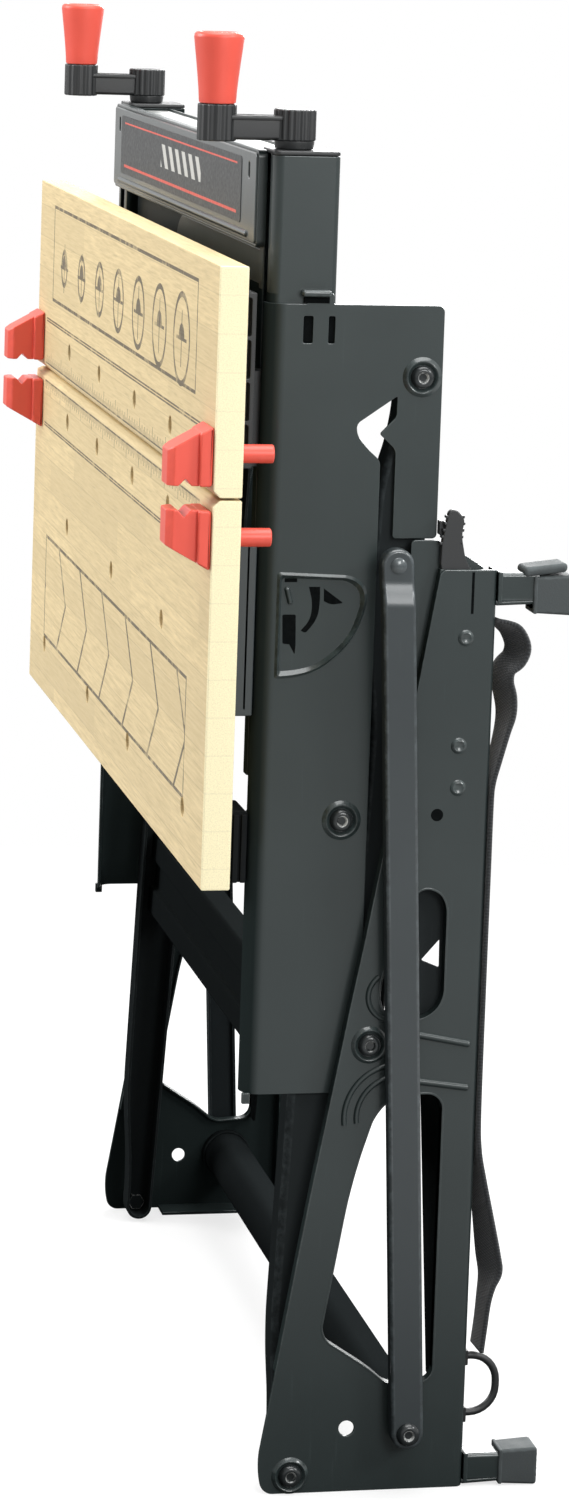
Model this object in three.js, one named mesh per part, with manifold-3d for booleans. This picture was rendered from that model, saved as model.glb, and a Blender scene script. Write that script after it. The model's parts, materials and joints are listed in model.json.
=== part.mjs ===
// Folding workbench with two vice cranks, modelled folded and standing upright.
// Millimetres, +Z up, X along the jaws, the jaws' working face towards -Y, the feet towards +Y.
import * as THREE from 'three';
import { mergeVertices } from 'three/addons/utils/BufferGeometryUtils.js';
import Module from 'manifold-3d';

const wasm = await Module();
wasm.setup();

// General fits and sheet thicknesses
const FIT = 0.3;
const SLIDE_GAP = 0.5;
const SHEET = 2;
const BASE_SHEET = 2.5;
const ROUND_STEPS = 12;
const ARC_STEPS = ROUND_STEPS / 2;
const CORNER_STEPS = 3;

// Jaws
const JAW_LENGTH = 740;
const JAW_THICKNESS = 18;
const FRONT_JAW_DEPTH = 141;
const REAR_JAW_DEPTH = 241;
const JAW_SPLIT = 1.5;
const JAW_GROOVE = 5;
const JAW_FACE_Y = -127.5;
const JAW_TOP_Z = 793;
const HOLE_ROW_INSET = 25;
const SECOND_ROW_INSET = 101;
const THIRD_ROW_INSET = 204;
const PEG_END_INSET = 19;
const FIRST_ROW_INSETS = [0, 138, 276];
const SECOND_ROW_INSETS = [149];
const THIRD_ROW_INSETS = [54, 264];

// Swivel pegs
const PEG_STEM_RADIUS = 5.8;
const PEG_STEM_REACH = 22;
const PEG_FOOT_WIDTH = 34;
const PEG_FOOT_HEIGHT = 8;
const PEG_BODY_WIDTH = 26;
const PEG_HEIGHT = 27;
const PEG_LENGTH = 37;
const PEG_CHAMFER = 4.5;
const PEG_CORNER = 7;
const PEG_OUTER_SLOPE = 15;
const PEG_NOTCH = 4;

// Vice beams, with the screws inside them
const BEAM_X = 274;
const BEAM_WIDTH = 42;
const BEAM_DEPTH = 42;
const BEAM_FRONT_Y = -81;
const BEAM_BOTTOM_Z = 460;
const BEAM_TOP_Z = 855.5;
const BEAM_SLOT = 16;

// Screws, bearings and cranks
const SCREW_Y = -65;
const SCREW_RADIUS = 6;
const SCREW_BOTTOM_Z = 610;
const BEARING_DEPTH = 18;
const BEARING_FLANGE = 2.7;
const HUB_RADIUS = 13.3;
const HUB_HEIGHT = 24.7;
const SCREW_IN_HUB = 15;
const CRANK_REACH = 49.5;
const CRANK_ARM_WIDTH = 14;
const CRANK_ARM_HEIGHT = 15.5;
const CRANK_ARM_LIFT = 5;
const SOCKET_RADIUS = 12.2;
const SOCKET_HEIGHT = 23;
const KNOB_PIN_RADIUS = 4;
const KNOB_PIN_HEIGHT = 32;
const KNOB_HEIGHT = 44;
const KNOB_BASE_RADIUS = 11.6;
const KNOB_TOP_RADIUS = 15.7;
const KNOB_EDGE = 2;

// Blocks that carry the jaws on the beams
const CARRIER_WIDTH = 36;
const CARRIER_LENGTH = 110;
const CARRIER_BOTTOM_Z = 660;
const NUT_LENGTH = 60;
const NECK_CLEARANCE = 1;
const REAR_SUPPORT_BOTTOM_Z = 503;
const REAR_SUPPORT_LENGTH = 112;
const REAR_BRACKET_BOTTOM_Z = 396;
const REAR_BRACKET_LENGTH = 46;

// Side plates of the top
const PLATE_ABOVE_PIVOT = 45;
const PLATE_BOTTOM_Z = 260;
const PLATE_REAR_Y = 30;
const PLATE_HOOK_BOTTOM_Z = 617;
const PLATE_LOWER_Y = -14;
const PLATE_TAPER_TOP_Z = 362;
const PLATE_TAPER_BOTTOM_Z = 325;
const PLATE_FLANGE_WIDTH = 14;
const PLATE_TONGUE = 6;
const STRUT_SLOT_FRONT_Y = -8;
const STRUT_SLOT_WIDTH = 9.5;
const TOP_TAB_Y = [-58, -41];
const TOP_TAB_HEIGHT = 7;
const TAB_SLOT_HEIGHT = 17;
const TAB_SLOT_DROP = 16;
const TAB_SLOTS = [[-60, 6], [-44, 4]];
const EMBOSS_CENTRE = [-70, 592];
const EMBOSS_RADIUS = 54;
const EMBOSS_BEAD = 1.6;
const EMBOSS_POCKET = 1.4;

// Front apron and the tie plate behind it
const APRON_FRONT_Y = -88.3;
const APRON_HALF_LENGTH = 272;
const APRON_HEIGHT = 57;
const APRON_TOP_DEPTH = 38;
const APRON_BOTTOM_DEPTH = 16;
const TIE_Y = -73;
const TIE_BOTTOM_Z = 690;
const TIE_TOP_Z = 797;

// Fold: two pairs of parallel legs between the top and the base, and two bracing struts
const REAR_UPPER_PIVOT = [-25, 437];
const FRONT_UPPER_PIVOT = [17, 719];
const LEG_DROP = 425;
const LEG_LEAN = -21;
const FOLD_ANGLE = 85;
const STRUT_FOOT_PIVOT = [27, 42];
const STRUT_HEAD_PIN = [1, 603];
const STRUT_RATIO = 0.68;

// Legs
const LEG_DEPTH = 22;
const LEG_PLATE_GAP = 2.3;
const REAR_LEG_TOP_RADIUS = 14;
const REAR_LEG_BOTTOM_RADIUS = 9.5;
const FRONT_LEG_RADIUS = 12.5;
const LEG_CHANNEL_DROP = 166;
const LEG_CHANNEL_HEIGHT = 62;
const LEG_CHANNEL_DEPTH = 18;
const LEG_CHANNEL_GROOVE = 4;
const LEG_ROD_RADIUS = 9;

// Base side plates
const BASE_PLATE_GAP = 9;
const BASE_REAR_Y = 68;
const BASE_TOP_Z = 605;
const BASE_REAR_FLANGE = 14;
const BASE_BOTTOM_FLANGE = 20;
const BASE_BOTTOM_FLANGE_Y = -25;
const BASE_LIP = 6;
const BASE_TOE_SETBACK = 4;
const BASE_TOE_RADIUS = 7;
const BASE_STILE_Y = 45;
const BASE_STILE_Z = [72, 261];
const BASE_STILE_FLANGE = [15, 48];
const BASE_BEAD_Z = [268, 298];
const BASE_BEAD_START_Y = 49;
const BASE_HOLE = [-10, 42];
const BASE_HOLE_RADIUS = 5;

// Cross members of the base
const REAR_BAR_CENTRE = [27, 43];
const REAR_BAR_RADIUS = 17;
const FRONT_TUBE_CENTRE = [50, 553];
const FRONT_TUBE_RADIUS = 12;

// Feet
const FOOT_STEM_LENGTH = 27;
const FOOT_STEM_HEIGHT = 18;
const FOOT_STEM_WIDTH = 18;
const FOOT_BLOCK_LENGTH = 21.7;
const FOOT_BLOCK_HEIGHT = 25;
const FOOT_BLOCK_WIDTH = 23;
const UPPER_FOOT_Z = 570;
const FOOT_SPIGOT_RADIUS = 5;
const FOOT_SPIGOT_LENGTH = 12;

// Struts
const STRUT_RADIUS = 10.5;
const STRUT_DEPTH = 10;
const STRUT_BASE_GAP = 5;
const STRUT_PIN_RADIUS = 4;
const STRUT_PIN_GAP = 1.5;

// Pivot bolts
const BOLT_RADIUS = 4;
const BOLT_HEAD_RADIUS = 7.5;
const BOLT_HEAD_HEIGHT = 3.5;
const BOLT_COLLAR_RADIUS = 7;
const NUT_RADIUS = 6.5;
const NUT_HEIGHT = 6.5;

// Tie strap and its loop on the base
const STRAP_WIDTH = 24;
const STRAP_THICKNESS = 2.4;
const STRAP_INSET = 9;
const LOOP_WIRE_RADIUS = 2.2;
const LOOP_REACH = 22;
const LOOP_BOTTOM_Z = 46;
const LOOP_TOP_Z = 92;

// Latch that keeps the base folded against the top
const LATCH_PIVOT = [47, 590];
const LATCH_PIN_RADIUS = 4;
const LATCH_BOSS_RADIUS = 8;
const LATCH_THICKNESS = 5;
const LATCH_TIP_Z = 637;
const LATCH_TOOTH = 4;
const LATCH_RIBS = 4;

// Planes that follow from the sizes above, on the right-hand side
const BEAM_INNER_X = BEAM_X - BEAM_WIDTH / 2;
const BEAM_OUTER_X = BEAM_X + BEAM_WIDTH / 2;
const BEAM_BACK_Y = BEAM_FRONT_Y + BEAM_DEPTH;
const BEAM_MID_Y = (BEAM_FRONT_Y + BEAM_BACK_Y) / 2;
const PLATE_INNER_X = BEAM_OUTER_X + FIT;
const PLATE_OUTER_X = PLATE_INNER_X + SHEET;
const PLATE_FRONT_Y = BEAM_FRONT_Y - FIT - SHEET;
const LEG_OUTER_X = PLATE_INNER_X - LEG_PLATE_GAP;
const LEG_INNER_X = LEG_OUTER_X - LEG_DEPTH;
const LEG_WEB_X = LEG_OUTER_X - SHEET;
const BASE_INNER_X = PLATE_OUTER_X + BASE_PLATE_GAP;
const BASE_OUTER_X = BASE_INNER_X + BASE_SHEET;
const STRUT_INNER_X = BASE_OUTER_X + STRUT_BASE_GAP;
const STRUT_OUTER_X = STRUT_INNER_X + STRUT_DEPTH;
const STRUT_WEB_X = STRUT_OUTER_X - SHEET;
const PLATE_TOP_Z = FRONT_UPPER_PIVOT[1] + PLATE_ABOVE_PIVOT;
const TAB_SLOT_Z = PLATE_TOP_Z - TAB_SLOT_DROP;
const JAW_BACK_Y = JAW_FACE_Y + JAW_THICKNESS;
const PEG_X = JAW_LENGTH / 2 - PEG_END_INSET;
const FRONT_JAW_BOTTOM_Z = JAW_TOP_Z - FRONT_JAW_DEPTH;
const REAR_JAW_TOP_Z = FRONT_JAW_BOTTOM_Z - JAW_SPLIT;
const HUB_BOTTOM_Z = BEAM_TOP_Z + FIT + BEARING_FLANGE + FIT;
const REAR_LOWER_PIVOT = [REAR_UPPER_PIVOT[0] + LEG_LEAN, REAR_UPPER_PIVOT[1] - LEG_DROP];
const FRONT_LOWER_PIVOT = [FRONT_UPPER_PIVOT[0] + LEG_LEAN, FRONT_UPPER_PIVOT[1] - LEG_DROP];
const PIVOT_HOLE = BOLT_RADIUS + FIT;
const FRONTMOST_Y = JAW_FACE_Y - FIT - PEG_HEIGHT;
const REARMOST_Y = BASE_REAR_Y + FIT + FOOT_STEM_LENGTH + FIT + FOOT_BLOCK_LENGTH;

function turned([y, z], degrees) {
  const angle = THREE.MathUtils.degToRad(degrees);
  const cos = Math.cos(angle);
  const sin = Math.sin(angle);
  return [y * cos - z * sin, y * sin + z * cos];
}

// Where the strut's head pin lies in the side plate once the bench is open
function strutSeat() {
  const leg = [LEG_LEAN, -LEG_DROP];
  const openLeg = turned(leg, FOLD_ANGLE);
  const strut = [STRUT_HEAD_PIN[0] - STRUT_FOOT_PIVOT[0], STRUT_HEAD_PIN[1] - STRUT_FOOT_PIVOT[1]];
  const openStrut = turned(strut, FOLD_ANGLE * STRUT_RATIO);
  const y = STRUT_FOOT_PIVOT[0] + openLeg[0] - leg[0] + openStrut[0];
  const z = STRUT_FOOT_PIVOT[1] + openLeg[1] - leg[1] + openStrut[1];
  return [y, z];
}

// Solids and geometry
function solid(geometry) {
  const bare = geometry.clone();
  bare.deleteAttribute('normal');
  bare.deleteAttribute('uv');
  const merged = mergeVertices(bare, 1e-4);
  const points = merged.getAttribute('position');
  const index = merged.getIndex().array;
  const triangles = [];
  let volume = 0;
  const a = new THREE.Vector3();
  const b = new THREE.Vector3();
  const c = new THREE.Vector3();
  for (let i = 0; i < index.length; i += 3) {
    const [p, q, r] = [index[i], index[i + 1], index[i + 2]];
    if (p === q || q === r || r === p) continue;
    triangles.push(p, q, r);
    a.fromBufferAttribute(points, p);
    b.fromBufferAttribute(points, q);
    c.fromBufferAttribute(points, r);
    volume += a.dot(b.cross(c));
  }
  if (volume < 0) triangles.reverse();
  const vertProperties = new Float32Array(points.array);
  const triVerts = new Uint32Array(triangles);
  return new wasm.Manifold(new wasm.Mesh({ numProp: 3, vertProperties, triVerts }));
}

function geometryOf(body) {
  const { vertProperties, triVerts } = body.getMesh();
  const geometry = new THREE.BufferGeometry();
  geometry.setAttribute('position', new THREE.BufferAttribute(new Float32Array(vertProperties), 3));
  geometry.setIndex(new THREE.BufferAttribute(new Uint32Array(triVerts), 1));
  geometry.computeVertexNormals();
  return geometry;
}

function join(bodies) {
  return bodies.reduce((whole, next) => whole.add(next));
}

function cut(body, tools) {
  return tools.reduce((rest, tool) => rest.subtract(tool), body);
}

// An outline through corners [u, v, radius], each corner eased by its radius
function outline(corners) {
  const points = corners.map(([u, v]) => new THREE.Vector2(u, v));
  const shape = new THREE.Shape();
  const towards = (from, to, radius) => {
    const reach = Math.min(radius, from.distanceTo(to) * 0.49);
    return from.clone().add(to.clone().sub(from).setLength(reach));
  };
  corners.forEach(([, , radius = 0], i) => {
    const here = points[i];
    const before = points[(i + points.length - 1) % points.length];
    const after = points[(i + 1) % points.length];
    const start = radius > 0 ? towards(here, before, radius) : here;
    if (i === 0) shape.moveTo(start.x, start.y);
    else shape.lineTo(start.x, start.y);
    if (radius > 0) {
      const end = towards(here, after, radius);
      shape.quadraticCurveTo(here.x, here.y, end.x, end.y);
    }
  });
  shape.closePath();
  return shape;
}

function rectangle([u0, u1], [v0, v1], radius = 0) {
  return outline([[u0, v0, radius], [u1, v0, radius], [u1, v1, radius], [u0, v1, radius]]);
}

function disc(u, v, radius) {
  const shape = new THREE.Shape();
  shape.absarc(u, v, radius, 0, Math.PI * 2);
  return shape;
}

// A link with a round end at each pivot
function linkOutline([u0, v0], radius0, [u1, v1], radius1) {
  const heading = Math.atan2(v1 - v0, u1 - u0);
  const shape = new THREE.Shape();
  shape.absarc(u0, v0, radius0, heading + Math.PI / 2, heading + Math.PI * 1.5);
  shape.absarc(u1, v1, radius1, heading - Math.PI / 2, heading + Math.PI / 2);
  shape.closePath();
  return shape;
}

function extruded(shape, depth, steps) {
  const options = { depth, bevelEnabled: false, curveSegments: steps };
  return new THREE.ExtrudeGeometry(shape, options);
}

const YZ_TO_X = new THREE.Matrix4().set(0, 0, 1, 0, 1, 0, 0, 0, 0, 1, 0, 0, 0, 0, 0, 1);

// A solid from an outline in Y and Z, between two planes of X
function alongX(shape, x0, x1, steps = CORNER_STEPS) {
  const geometry = extruded(shape, x1 - x0, steps).applyMatrix4(YZ_TO_X);
  return solid(geometry.translate(x0, 0, 0));
}

// A solid from an outline in X and Z, between two planes of Y
function alongY(shape, y0, y1, steps = CORNER_STEPS) {
  const geometry = extruded(shape, y1 - y0, steps).rotateX(Math.PI / 2);
  return solid(geometry.translate(0, y1, 0));
}

// A solid from an outline in X and Y, between two planes of Z
function alongZ(shape, z0, z1, steps = CORNER_STEPS) {
  return solid(extruded(shape, z1 - z0, steps).translate(0, 0, z0));
}

function block([x0, x1], [y0, y1], [z0, z1]) {
  const geometry = new THREE.BoxGeometry(x1 - x0, y1 - y0, z1 - z0);
  return solid(geometry.translate((x0 + x1) / 2, (y0 + y1) / 2, (z0 + z1) / 2));
}

// Turned solids: a profile of [radius, place] spun about an axis along X or Z
function turnedAboutX(profile, [y, z]) {
  const points = profile.map(([radius, place]) => new THREE.Vector2(radius, place));
  const geometry = new THREE.LatheGeometry(points, ROUND_STEPS).rotateZ(-Math.PI / 2);
  return solid(geometry.translate(0, y, z));
}

function turnedAboutZ(profile, [x, y]) {
  const points = profile.map(([radius, place]) => new THREE.Vector2(radius, place));
  const geometry = new THREE.LatheGeometry(points, ROUND_STEPS).rotateX(Math.PI / 2);
  return solid(geometry.translate(x, y, 0));
}

function rodX(radius, x0, x1, centre) {
  return alongX(disc(...centre, radius), x0, x1, ARC_STEPS);
}

function rodY(radius, [x, z], y0, y1) {
  return alongY(disc(x, z, radius), y0, y1, ARC_STEPS);
}

function rodZ(radius, [x, y], z0, z1) {
  return alongZ(disc(x, y, radius), z0, z1, ARC_STEPS);
}

// Materials, one for each finish
const FINISHES = {
  slateSteel: { color: 0x43494b, roughness: 0.45, metalness: 0.35 },
  strutSteel: { color: 0x4b5153, roughness: 0.42, metalness: 0.35 },
  darkSteel: { color: 0x2b2f30, roughness: 0.5, metalness: 0.35 },
  zincSteel: { color: 0x6d7274, roughness: 0.35, metalness: 0.8 },
  bamboo: { color: 0xd9bd92, roughness: 0.55, metalness: 0 },
  redPlastic: { color: 0xe04a3c, roughness: 0.4, metalness: 0 },
  greyPlastic: { color: 0x4a5052, roughness: 0.5, metalness: 0 },
  blackPlastic: { color: 0x222526, roughness: 0.5, metalness: 0 },
  footRubber: { color: 0x3c4042, roughness: 0.75, metalness: 0 },
  webbing: { color: 0x2a2c2e, roughness: 0.85, metalness: 0 },
};

const bench = new THREE.Group();
const rightSide = new THREE.Group();
const leftSide = new THREE.Group();
leftSide.scale.x = -1;
bench.add(rightSide, leftSide);

function mesh(name, body, finish) {
  const piece = new THREE.Mesh(geometryOf(body), new THREE.MeshStandardMaterial(FINISHES[finish]));
  piece.name = name;
  return piece;
}

function single(name, body, finish) {
  bench.add(mesh(name, body, finish));
}

// A piece made for the right-hand side, and its mirror image on the left
function pair(name, body, finish) {
  rightSide.add(mesh(`${name}_right`, body, finish));
  leftSide.add(mesh(`${name}_left`, body, finish));
}

// Jaws: boards with a groove along the split and rows of peg holes
function jawBody(z0, z1, splitZ, rows, middleZ) {
  const half = JAW_LENGTH / 2;
  const board = rectangle([-half, half], [z0, z1]);
  const holeRadius = PEG_STEM_RADIUS + FIT;
  for (const [rowZ, insets] of rows) {
    const places = insets.map((inset) => PEG_X - inset);
    places.forEach((x) => board.holes.push(disc(x, rowZ, holeRadius), disc(-x, rowZ, holeRadius)));
  }
  if (middleZ) board.holes.push(disc(0, middleZ, holeRadius));
  const groove = outline([
    [JAW_FACE_Y - FIT, splitZ - JAW_GROOVE],
    [JAW_FACE_Y + JAW_GROOVE, splitZ],
    [JAW_FACE_Y - FIT, splitZ + JAW_GROOVE],
  ]);
  const body = alongY(board, JAW_FACE_Y, JAW_BACK_Y, ARC_STEPS);
  return cut(body, [alongX(groove, -half - FIT, half + FIT)]);
}

const FRONT_ROW_Z = FRONT_JAW_BOTTOM_Z + HOLE_ROW_INSET;
const REAR_ROW_Z = REAR_JAW_TOP_Z - HOLE_ROW_INSET;

function makeJaws() {
  const middleZ = REAR_JAW_TOP_Z - SECOND_ROW_INSET;
  const frontRows = [[FRONT_ROW_Z, FIRST_ROW_INSETS]];
  const rearRows = [
    [REAR_ROW_Z, FIRST_ROW_INSETS],
    [middleZ, SECOND_ROW_INSETS],
    [REAR_JAW_TOP_Z - THIRD_ROW_INSET, THIRD_ROW_INSETS],
  ];
  const splitZ = (FRONT_JAW_BOTTOM_Z + REAR_JAW_TOP_Z) / 2;
  const front = jawBody(FRONT_JAW_BOTTOM_Z, JAW_TOP_Z, splitZ, frontRows);
  const rear = jawBody(REAR_JAW_TOP_Z - REAR_JAW_DEPTH, REAR_JAW_TOP_Z, splitZ, rearRows, middleZ);
  single('front_jaw', front, 'bamboo');
  single('rear_jaw', rear, 'bamboo');
}

// Swivel peg about its own stem: a stepped head, sloped at the upper end and notched at the lower one
function pegBody() {
  const seatY = JAW_FACE_Y - FIT;
  const tipY = seatY - PEG_HEIGHT;
  const footHalf = PEG_FOOT_WIDTH / 2;
  const bodyHalf = PEG_BODY_WIDTH / 2;
  const endHalf = PEG_LENGTH / 2;
  const stepY = seatY - PEG_FOOT_HEIGHT;
  const notchY = (stepY + tipY) / 2;
  const section = outline([
    [PEG_X - footHalf, seatY],
    [PEG_X + footHalf, seatY],
    [PEG_X + footHalf, stepY],
    [PEG_X + bodyHalf, stepY],
    [PEG_X + bodyHalf, tipY + PEG_CHAMFER],
    [PEG_X + bodyHalf - PEG_CHAMFER, tipY],
    [PEG_X - bodyHalf + PEG_CHAMFER, tipY],
    [PEG_X - bodyHalf, tipY + PEG_CHAMFER],
    [PEG_X - bodyHalf, stepY],
    [PEG_X - footHalf, stepY],
  ].reverse());
  const side = outline([
    [seatY, -endHalf],
    [seatY, endHalf],
    [tipY, endHalf - PEG_OUTER_SLOPE],
    [tipY, -endHalf],
    [notchY - PEG_NOTCH, -endHalf],
    [notchY, -endHalf + PEG_NOTCH],
    [notchY + PEG_NOTCH, -endHalf],
  ].reverse());
  const plan = outline([
    [PEG_X - footHalf, -endHalf, PEG_CORNER],
    [PEG_X + footHalf, -endHalf, PEG_CORNER],
    [PEG_X + footHalf, endHalf, PEG_CORNER],
    [PEG_X - footHalf, endHalf, PEG_CORNER],
  ]);
  const head = alongZ(section, -endHalf, endHalf)
    .intersect(alongX(side, PEG_X - footHalf, PEG_X + footHalf))
    .intersect(alongY(plan, tipY, seatY));
  const stemEnd = JAW_BACK_Y + PEG_STEM_REACH;
  return head.add(rodY(PEG_STEM_RADIUS, [PEG_X, 0], stepY, stemEnd));
}

function makePegs() {
  const peg = pegBody();
  pair('front_peg', peg.translate([0, 0, FRONT_ROW_Z]), 'redPlastic');
  pair('rear_peg', peg.mirror([0, 0, 1]).translate([0, 0, REAR_ROW_Z]), 'redPlastic');
}

// Pockets pressed into the side plate inside the quarter-round emboss
function embossPockets() {
  const [y, z] = EMBOSS_CENTRE;
  const slot = rectangle([y + 3, y + 11], [z - 49, z - 23], 2);
  const curved = outline([
    [y + 18, z - 9, 2],
    [y + 31, z - 5, 3],
    [y + 29, z - 20, 6],
    [y + 17, z - 36, 2],
  ]);
  const corner = outline([[y + 35, z - 4, 2], [y + 47, z - 4, 2], [y + 37, z - 14, 2]]);
  const floor = PLATE_OUTER_X - EMBOSS_POCKET;
  return [slot, curved, corner].map((shape) => alongX(shape, floor, PLATE_OUTER_X + SHEET));
}

// Vice beam: a lipped channel whose open side faces the jaws
function makeBeams() {
  const wall = SHEET;
  const slot = BEAM_SLOT / 2;
  const section = outline([
    [BEAM_X - slot, BEAM_FRONT_Y],
    [BEAM_X - slot, BEAM_FRONT_Y + wall],
    [BEAM_INNER_X + wall, BEAM_FRONT_Y + wall],
    [BEAM_INNER_X + wall, BEAM_BACK_Y - wall],
    [BEAM_OUTER_X - wall, BEAM_BACK_Y - wall],
    [BEAM_OUTER_X - wall, BEAM_FRONT_Y + wall],
    [BEAM_X + slot, BEAM_FRONT_Y + wall],
    [BEAM_X + slot, BEAM_FRONT_Y],
    [BEAM_OUTER_X, BEAM_FRONT_Y, wall],
    [BEAM_OUTER_X, BEAM_BACK_Y, wall],
    [BEAM_INNER_X, BEAM_BACK_Y, wall],
    [BEAM_INNER_X, BEAM_FRONT_Y, wall],
  ]);
  const channel = alongZ(section, BEAM_BOTTOM_Z, BEAM_TOP_Z);
  pair('vice_beam', channel, 'slateSteel');
}

// Side plate of the top, with the slot and hooked notch for the strut's head pin
function plateOutline() {
  const [seatY, seatZ] = strutSeat();
  const slotRear = STRUT_SLOT_FRONT_Y + STRUT_SLOT_WIDTH;
  const pin = STRUT_PIN_RADIUS;
  return outline([
    [PLATE_FRONT_Y, PLATE_BOTTOM_Z - PLATE_TONGUE, 2],
    [PLATE_FRONT_Y + PLATE_TONGUE, PLATE_BOTTOM_Z - PLATE_TONGUE, 2],
    [PLATE_FRONT_Y + PLATE_TONGUE, PLATE_BOTTOM_Z],
    [PLATE_LOWER_Y, PLATE_BOTTOM_Z, 4],
    [PLATE_LOWER_Y, PLATE_TAPER_BOTTOM_Z, 4],
    [STRUT_SLOT_FRONT_Y, PLATE_TAPER_TOP_Z, 4],
    [STRUT_SLOT_FRONT_Y, seatZ - 5 * pin, 3],
    [seatY + pin, seatZ - 3.4 * pin, 2],
    [seatY - pin, seatZ - 1.1 * pin, 3],
    [seatY - pin - 1, seatZ + 0.75 * pin, 3],
    [slotRear, seatZ + 5.2 * pin, 1],
    [slotRear, seatZ + 2 * pin, 2],
    [seatY + 2.5 * pin, seatZ - 0.75 * pin, 1.5],
    [slotRear, seatZ - 3.2 * pin, 3],
    [slotRear, PLATE_HOOK_BOTTOM_Z, 2],
    [PLATE_REAR_Y, PLATE_HOOK_BOTTOM_Z, 3],
    [PLATE_REAR_Y, PLATE_TOP_Z, 4],
    [TOP_TAB_Y[1], PLATE_TOP_Z],
    [TOP_TAB_Y[1], PLATE_TOP_Z + TOP_TAB_HEIGHT, 2],
    [TOP_TAB_Y[0], PLATE_TOP_Z + TOP_TAB_HEIGHT, 2],
    [TOP_TAB_Y[0], PLATE_TOP_Z],
    [PLATE_FRONT_Y, PLATE_TOP_Z],
  ]);
}

function embossBead() {
  const [y, z] = EMBOSS_CENTRE;
  const arc = new THREE.CatmullRomCurve3(
    [0, 18, 36, 54, 72, 90].map((degrees) => {
      const [dy, dz] = turned([EMBOSS_RADIUS, 0], -degrees);
      return new THREE.Vector3(PLATE_OUTER_X, y + dy, z + dz);
    }),
  );
  const section = disc(0, 0, EMBOSS_BEAD);
  const options = { steps: 10, curveSegments: 3, bevelEnabled: false, extrudePath: arc };
  return solid(new THREE.ExtrudeGeometry(section, options));
}

function makeSidePlates() {
  const shape = plateOutline();
  shape.holes.push(disc(...REAR_UPPER_PIVOT, PIVOT_HOLE));
  shape.holes.push(disc(...FRONT_UPPER_PIVOT, PIVOT_HOLE));
  for (const [y, width] of TAB_SLOTS) {
    const zRange = [TAB_SLOT_Z - TAB_SLOT_HEIGHT / 2, TAB_SLOT_Z + TAB_SLOT_HEIGHT / 2];
    shape.holes.push(rectangle([y, y + width], zRange, 1));
  }
  const face = alongX(shape, PLATE_INNER_X, PLATE_OUTER_X, 4);
  const flangeStart = PLATE_OUTER_X - PLATE_FLANGE_WIDTH;
  const flange = block(
    [flangeStart, PLATE_OUTER_X],
    [PLATE_FRONT_Y, PLATE_FRONT_Y + SHEET],
    [PLATE_BOTTOM_Z, PLATE_TOP_Z],
  );
  pair('side_plate', cut(join([face, flange, embossBead()]), embossPockets()), 'slateSteel');
}

// Front apron: a shallow tray across the front of the beams, with flanges between them
function makeApron() {
  const bottomZ = BEAM_TOP_Z - APRON_HEIGHT;
  const inner = BEAM_INNER_X - FIT;
  const half = APRON_HALF_LENGTH;
  const shell = alongY(
    rectangle([-half, half], [bottomZ, BEAM_TOP_Z], 3),
    APRON_FRONT_Y,
    BEAM_FRONT_Y - FIT,
  );
  const hollow = block(
    [-half + SHEET, half - SHEET],
    [APRON_FRONT_Y + SHEET, BEAM_FRONT_Y],
    [bottomZ + SHEET, BEAM_TOP_Z - SHEET],
  );
  const topFlange = block(
    [-inner, inner],
    [APRON_FRONT_Y + SHEET, APRON_FRONT_Y + APRON_TOP_DEPTH],
    [BEAM_TOP_Z - SHEET, BEAM_TOP_Z],
  );
  const bottomFlange = block(
    [-inner, inner],
    [APRON_FRONT_Y + SHEET, APRON_FRONT_Y + APRON_BOTTOM_DEPTH],
    [bottomZ, bottomZ + SHEET],
  );
  single('front_apron', join([cut(shell, [hollow]), topFlange, bottomFlange]), 'slateSteel');
}

function makeTiePlate() {
  const inner = BEAM_INNER_X - FIT;
  const shape = rectangle([-inner, inner], [TIE_BOTTOM_Z, TIE_TOP_Z], 2);
  single('tie_plate', alongY(shape, TIE_Y, TIE_Y + SHEET), 'darkSteel');
}

// Blocks between the jaws and the beams
function padBlock(z0, length, backY) {
  const half = CARRIER_WIDTH / 2;
  return block([BEAM_X - half, BEAM_X + half], [JAW_BACK_Y + FIT, backY], [z0, z0 + length]);
}

function makeCarriers() {
  const padBackY = APRON_FRONT_Y - SLIDE_GAP;
  const pad = padBlock(CARRIER_BOTTOM_Z, CARRIER_LENGTH, padBackY);
  const nutHalf = BEAM_WIDTH / 2 - SHEET - SLIDE_GAP;
  const nutZ = [CARRIER_BOTTOM_Z, CARRIER_BOTTOM_Z + NUT_LENGTH];
  const nutFrontY = BEAM_FRONT_Y + SHEET + SLIDE_GAP;
  const nut = block(
    [BEAM_X - nutHalf, BEAM_X + nutHalf],
    [nutFrontY, BEAM_BACK_Y - SHEET - SLIDE_GAP],
    nutZ,
  );
  const neckHalf = BEAM_SLOT / 2 - NECK_CLEARANCE;
  const neck = block([BEAM_X - neckHalf, BEAM_X + neckHalf], [padBackY - FIT, nutFrontY + FIT], nutZ);
  const bore = rodZ(SCREW_RADIUS + FIT, [BEAM_X, SCREW_Y], nutZ[0] - 1, nutZ[1] + 1);
  pair('jaw_carrier', cut(join([pad, neck, nut]), [bore]), 'blackPlastic');
}

function makeRearSupports() {
  const backY = PLATE_FRONT_Y - FIT;
  const support = padBlock(REAR_SUPPORT_BOTTOM_Z, REAR_SUPPORT_LENGTH, backY);
  const bracket = padBlock(REAR_BRACKET_BOTTOM_Z, REAR_BRACKET_LENGTH, backY);
  pair('rear_jaw_support', support, 'greyPlastic');
  pair('rear_jaw_bracket', bracket, 'blackPlastic');
}

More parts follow.
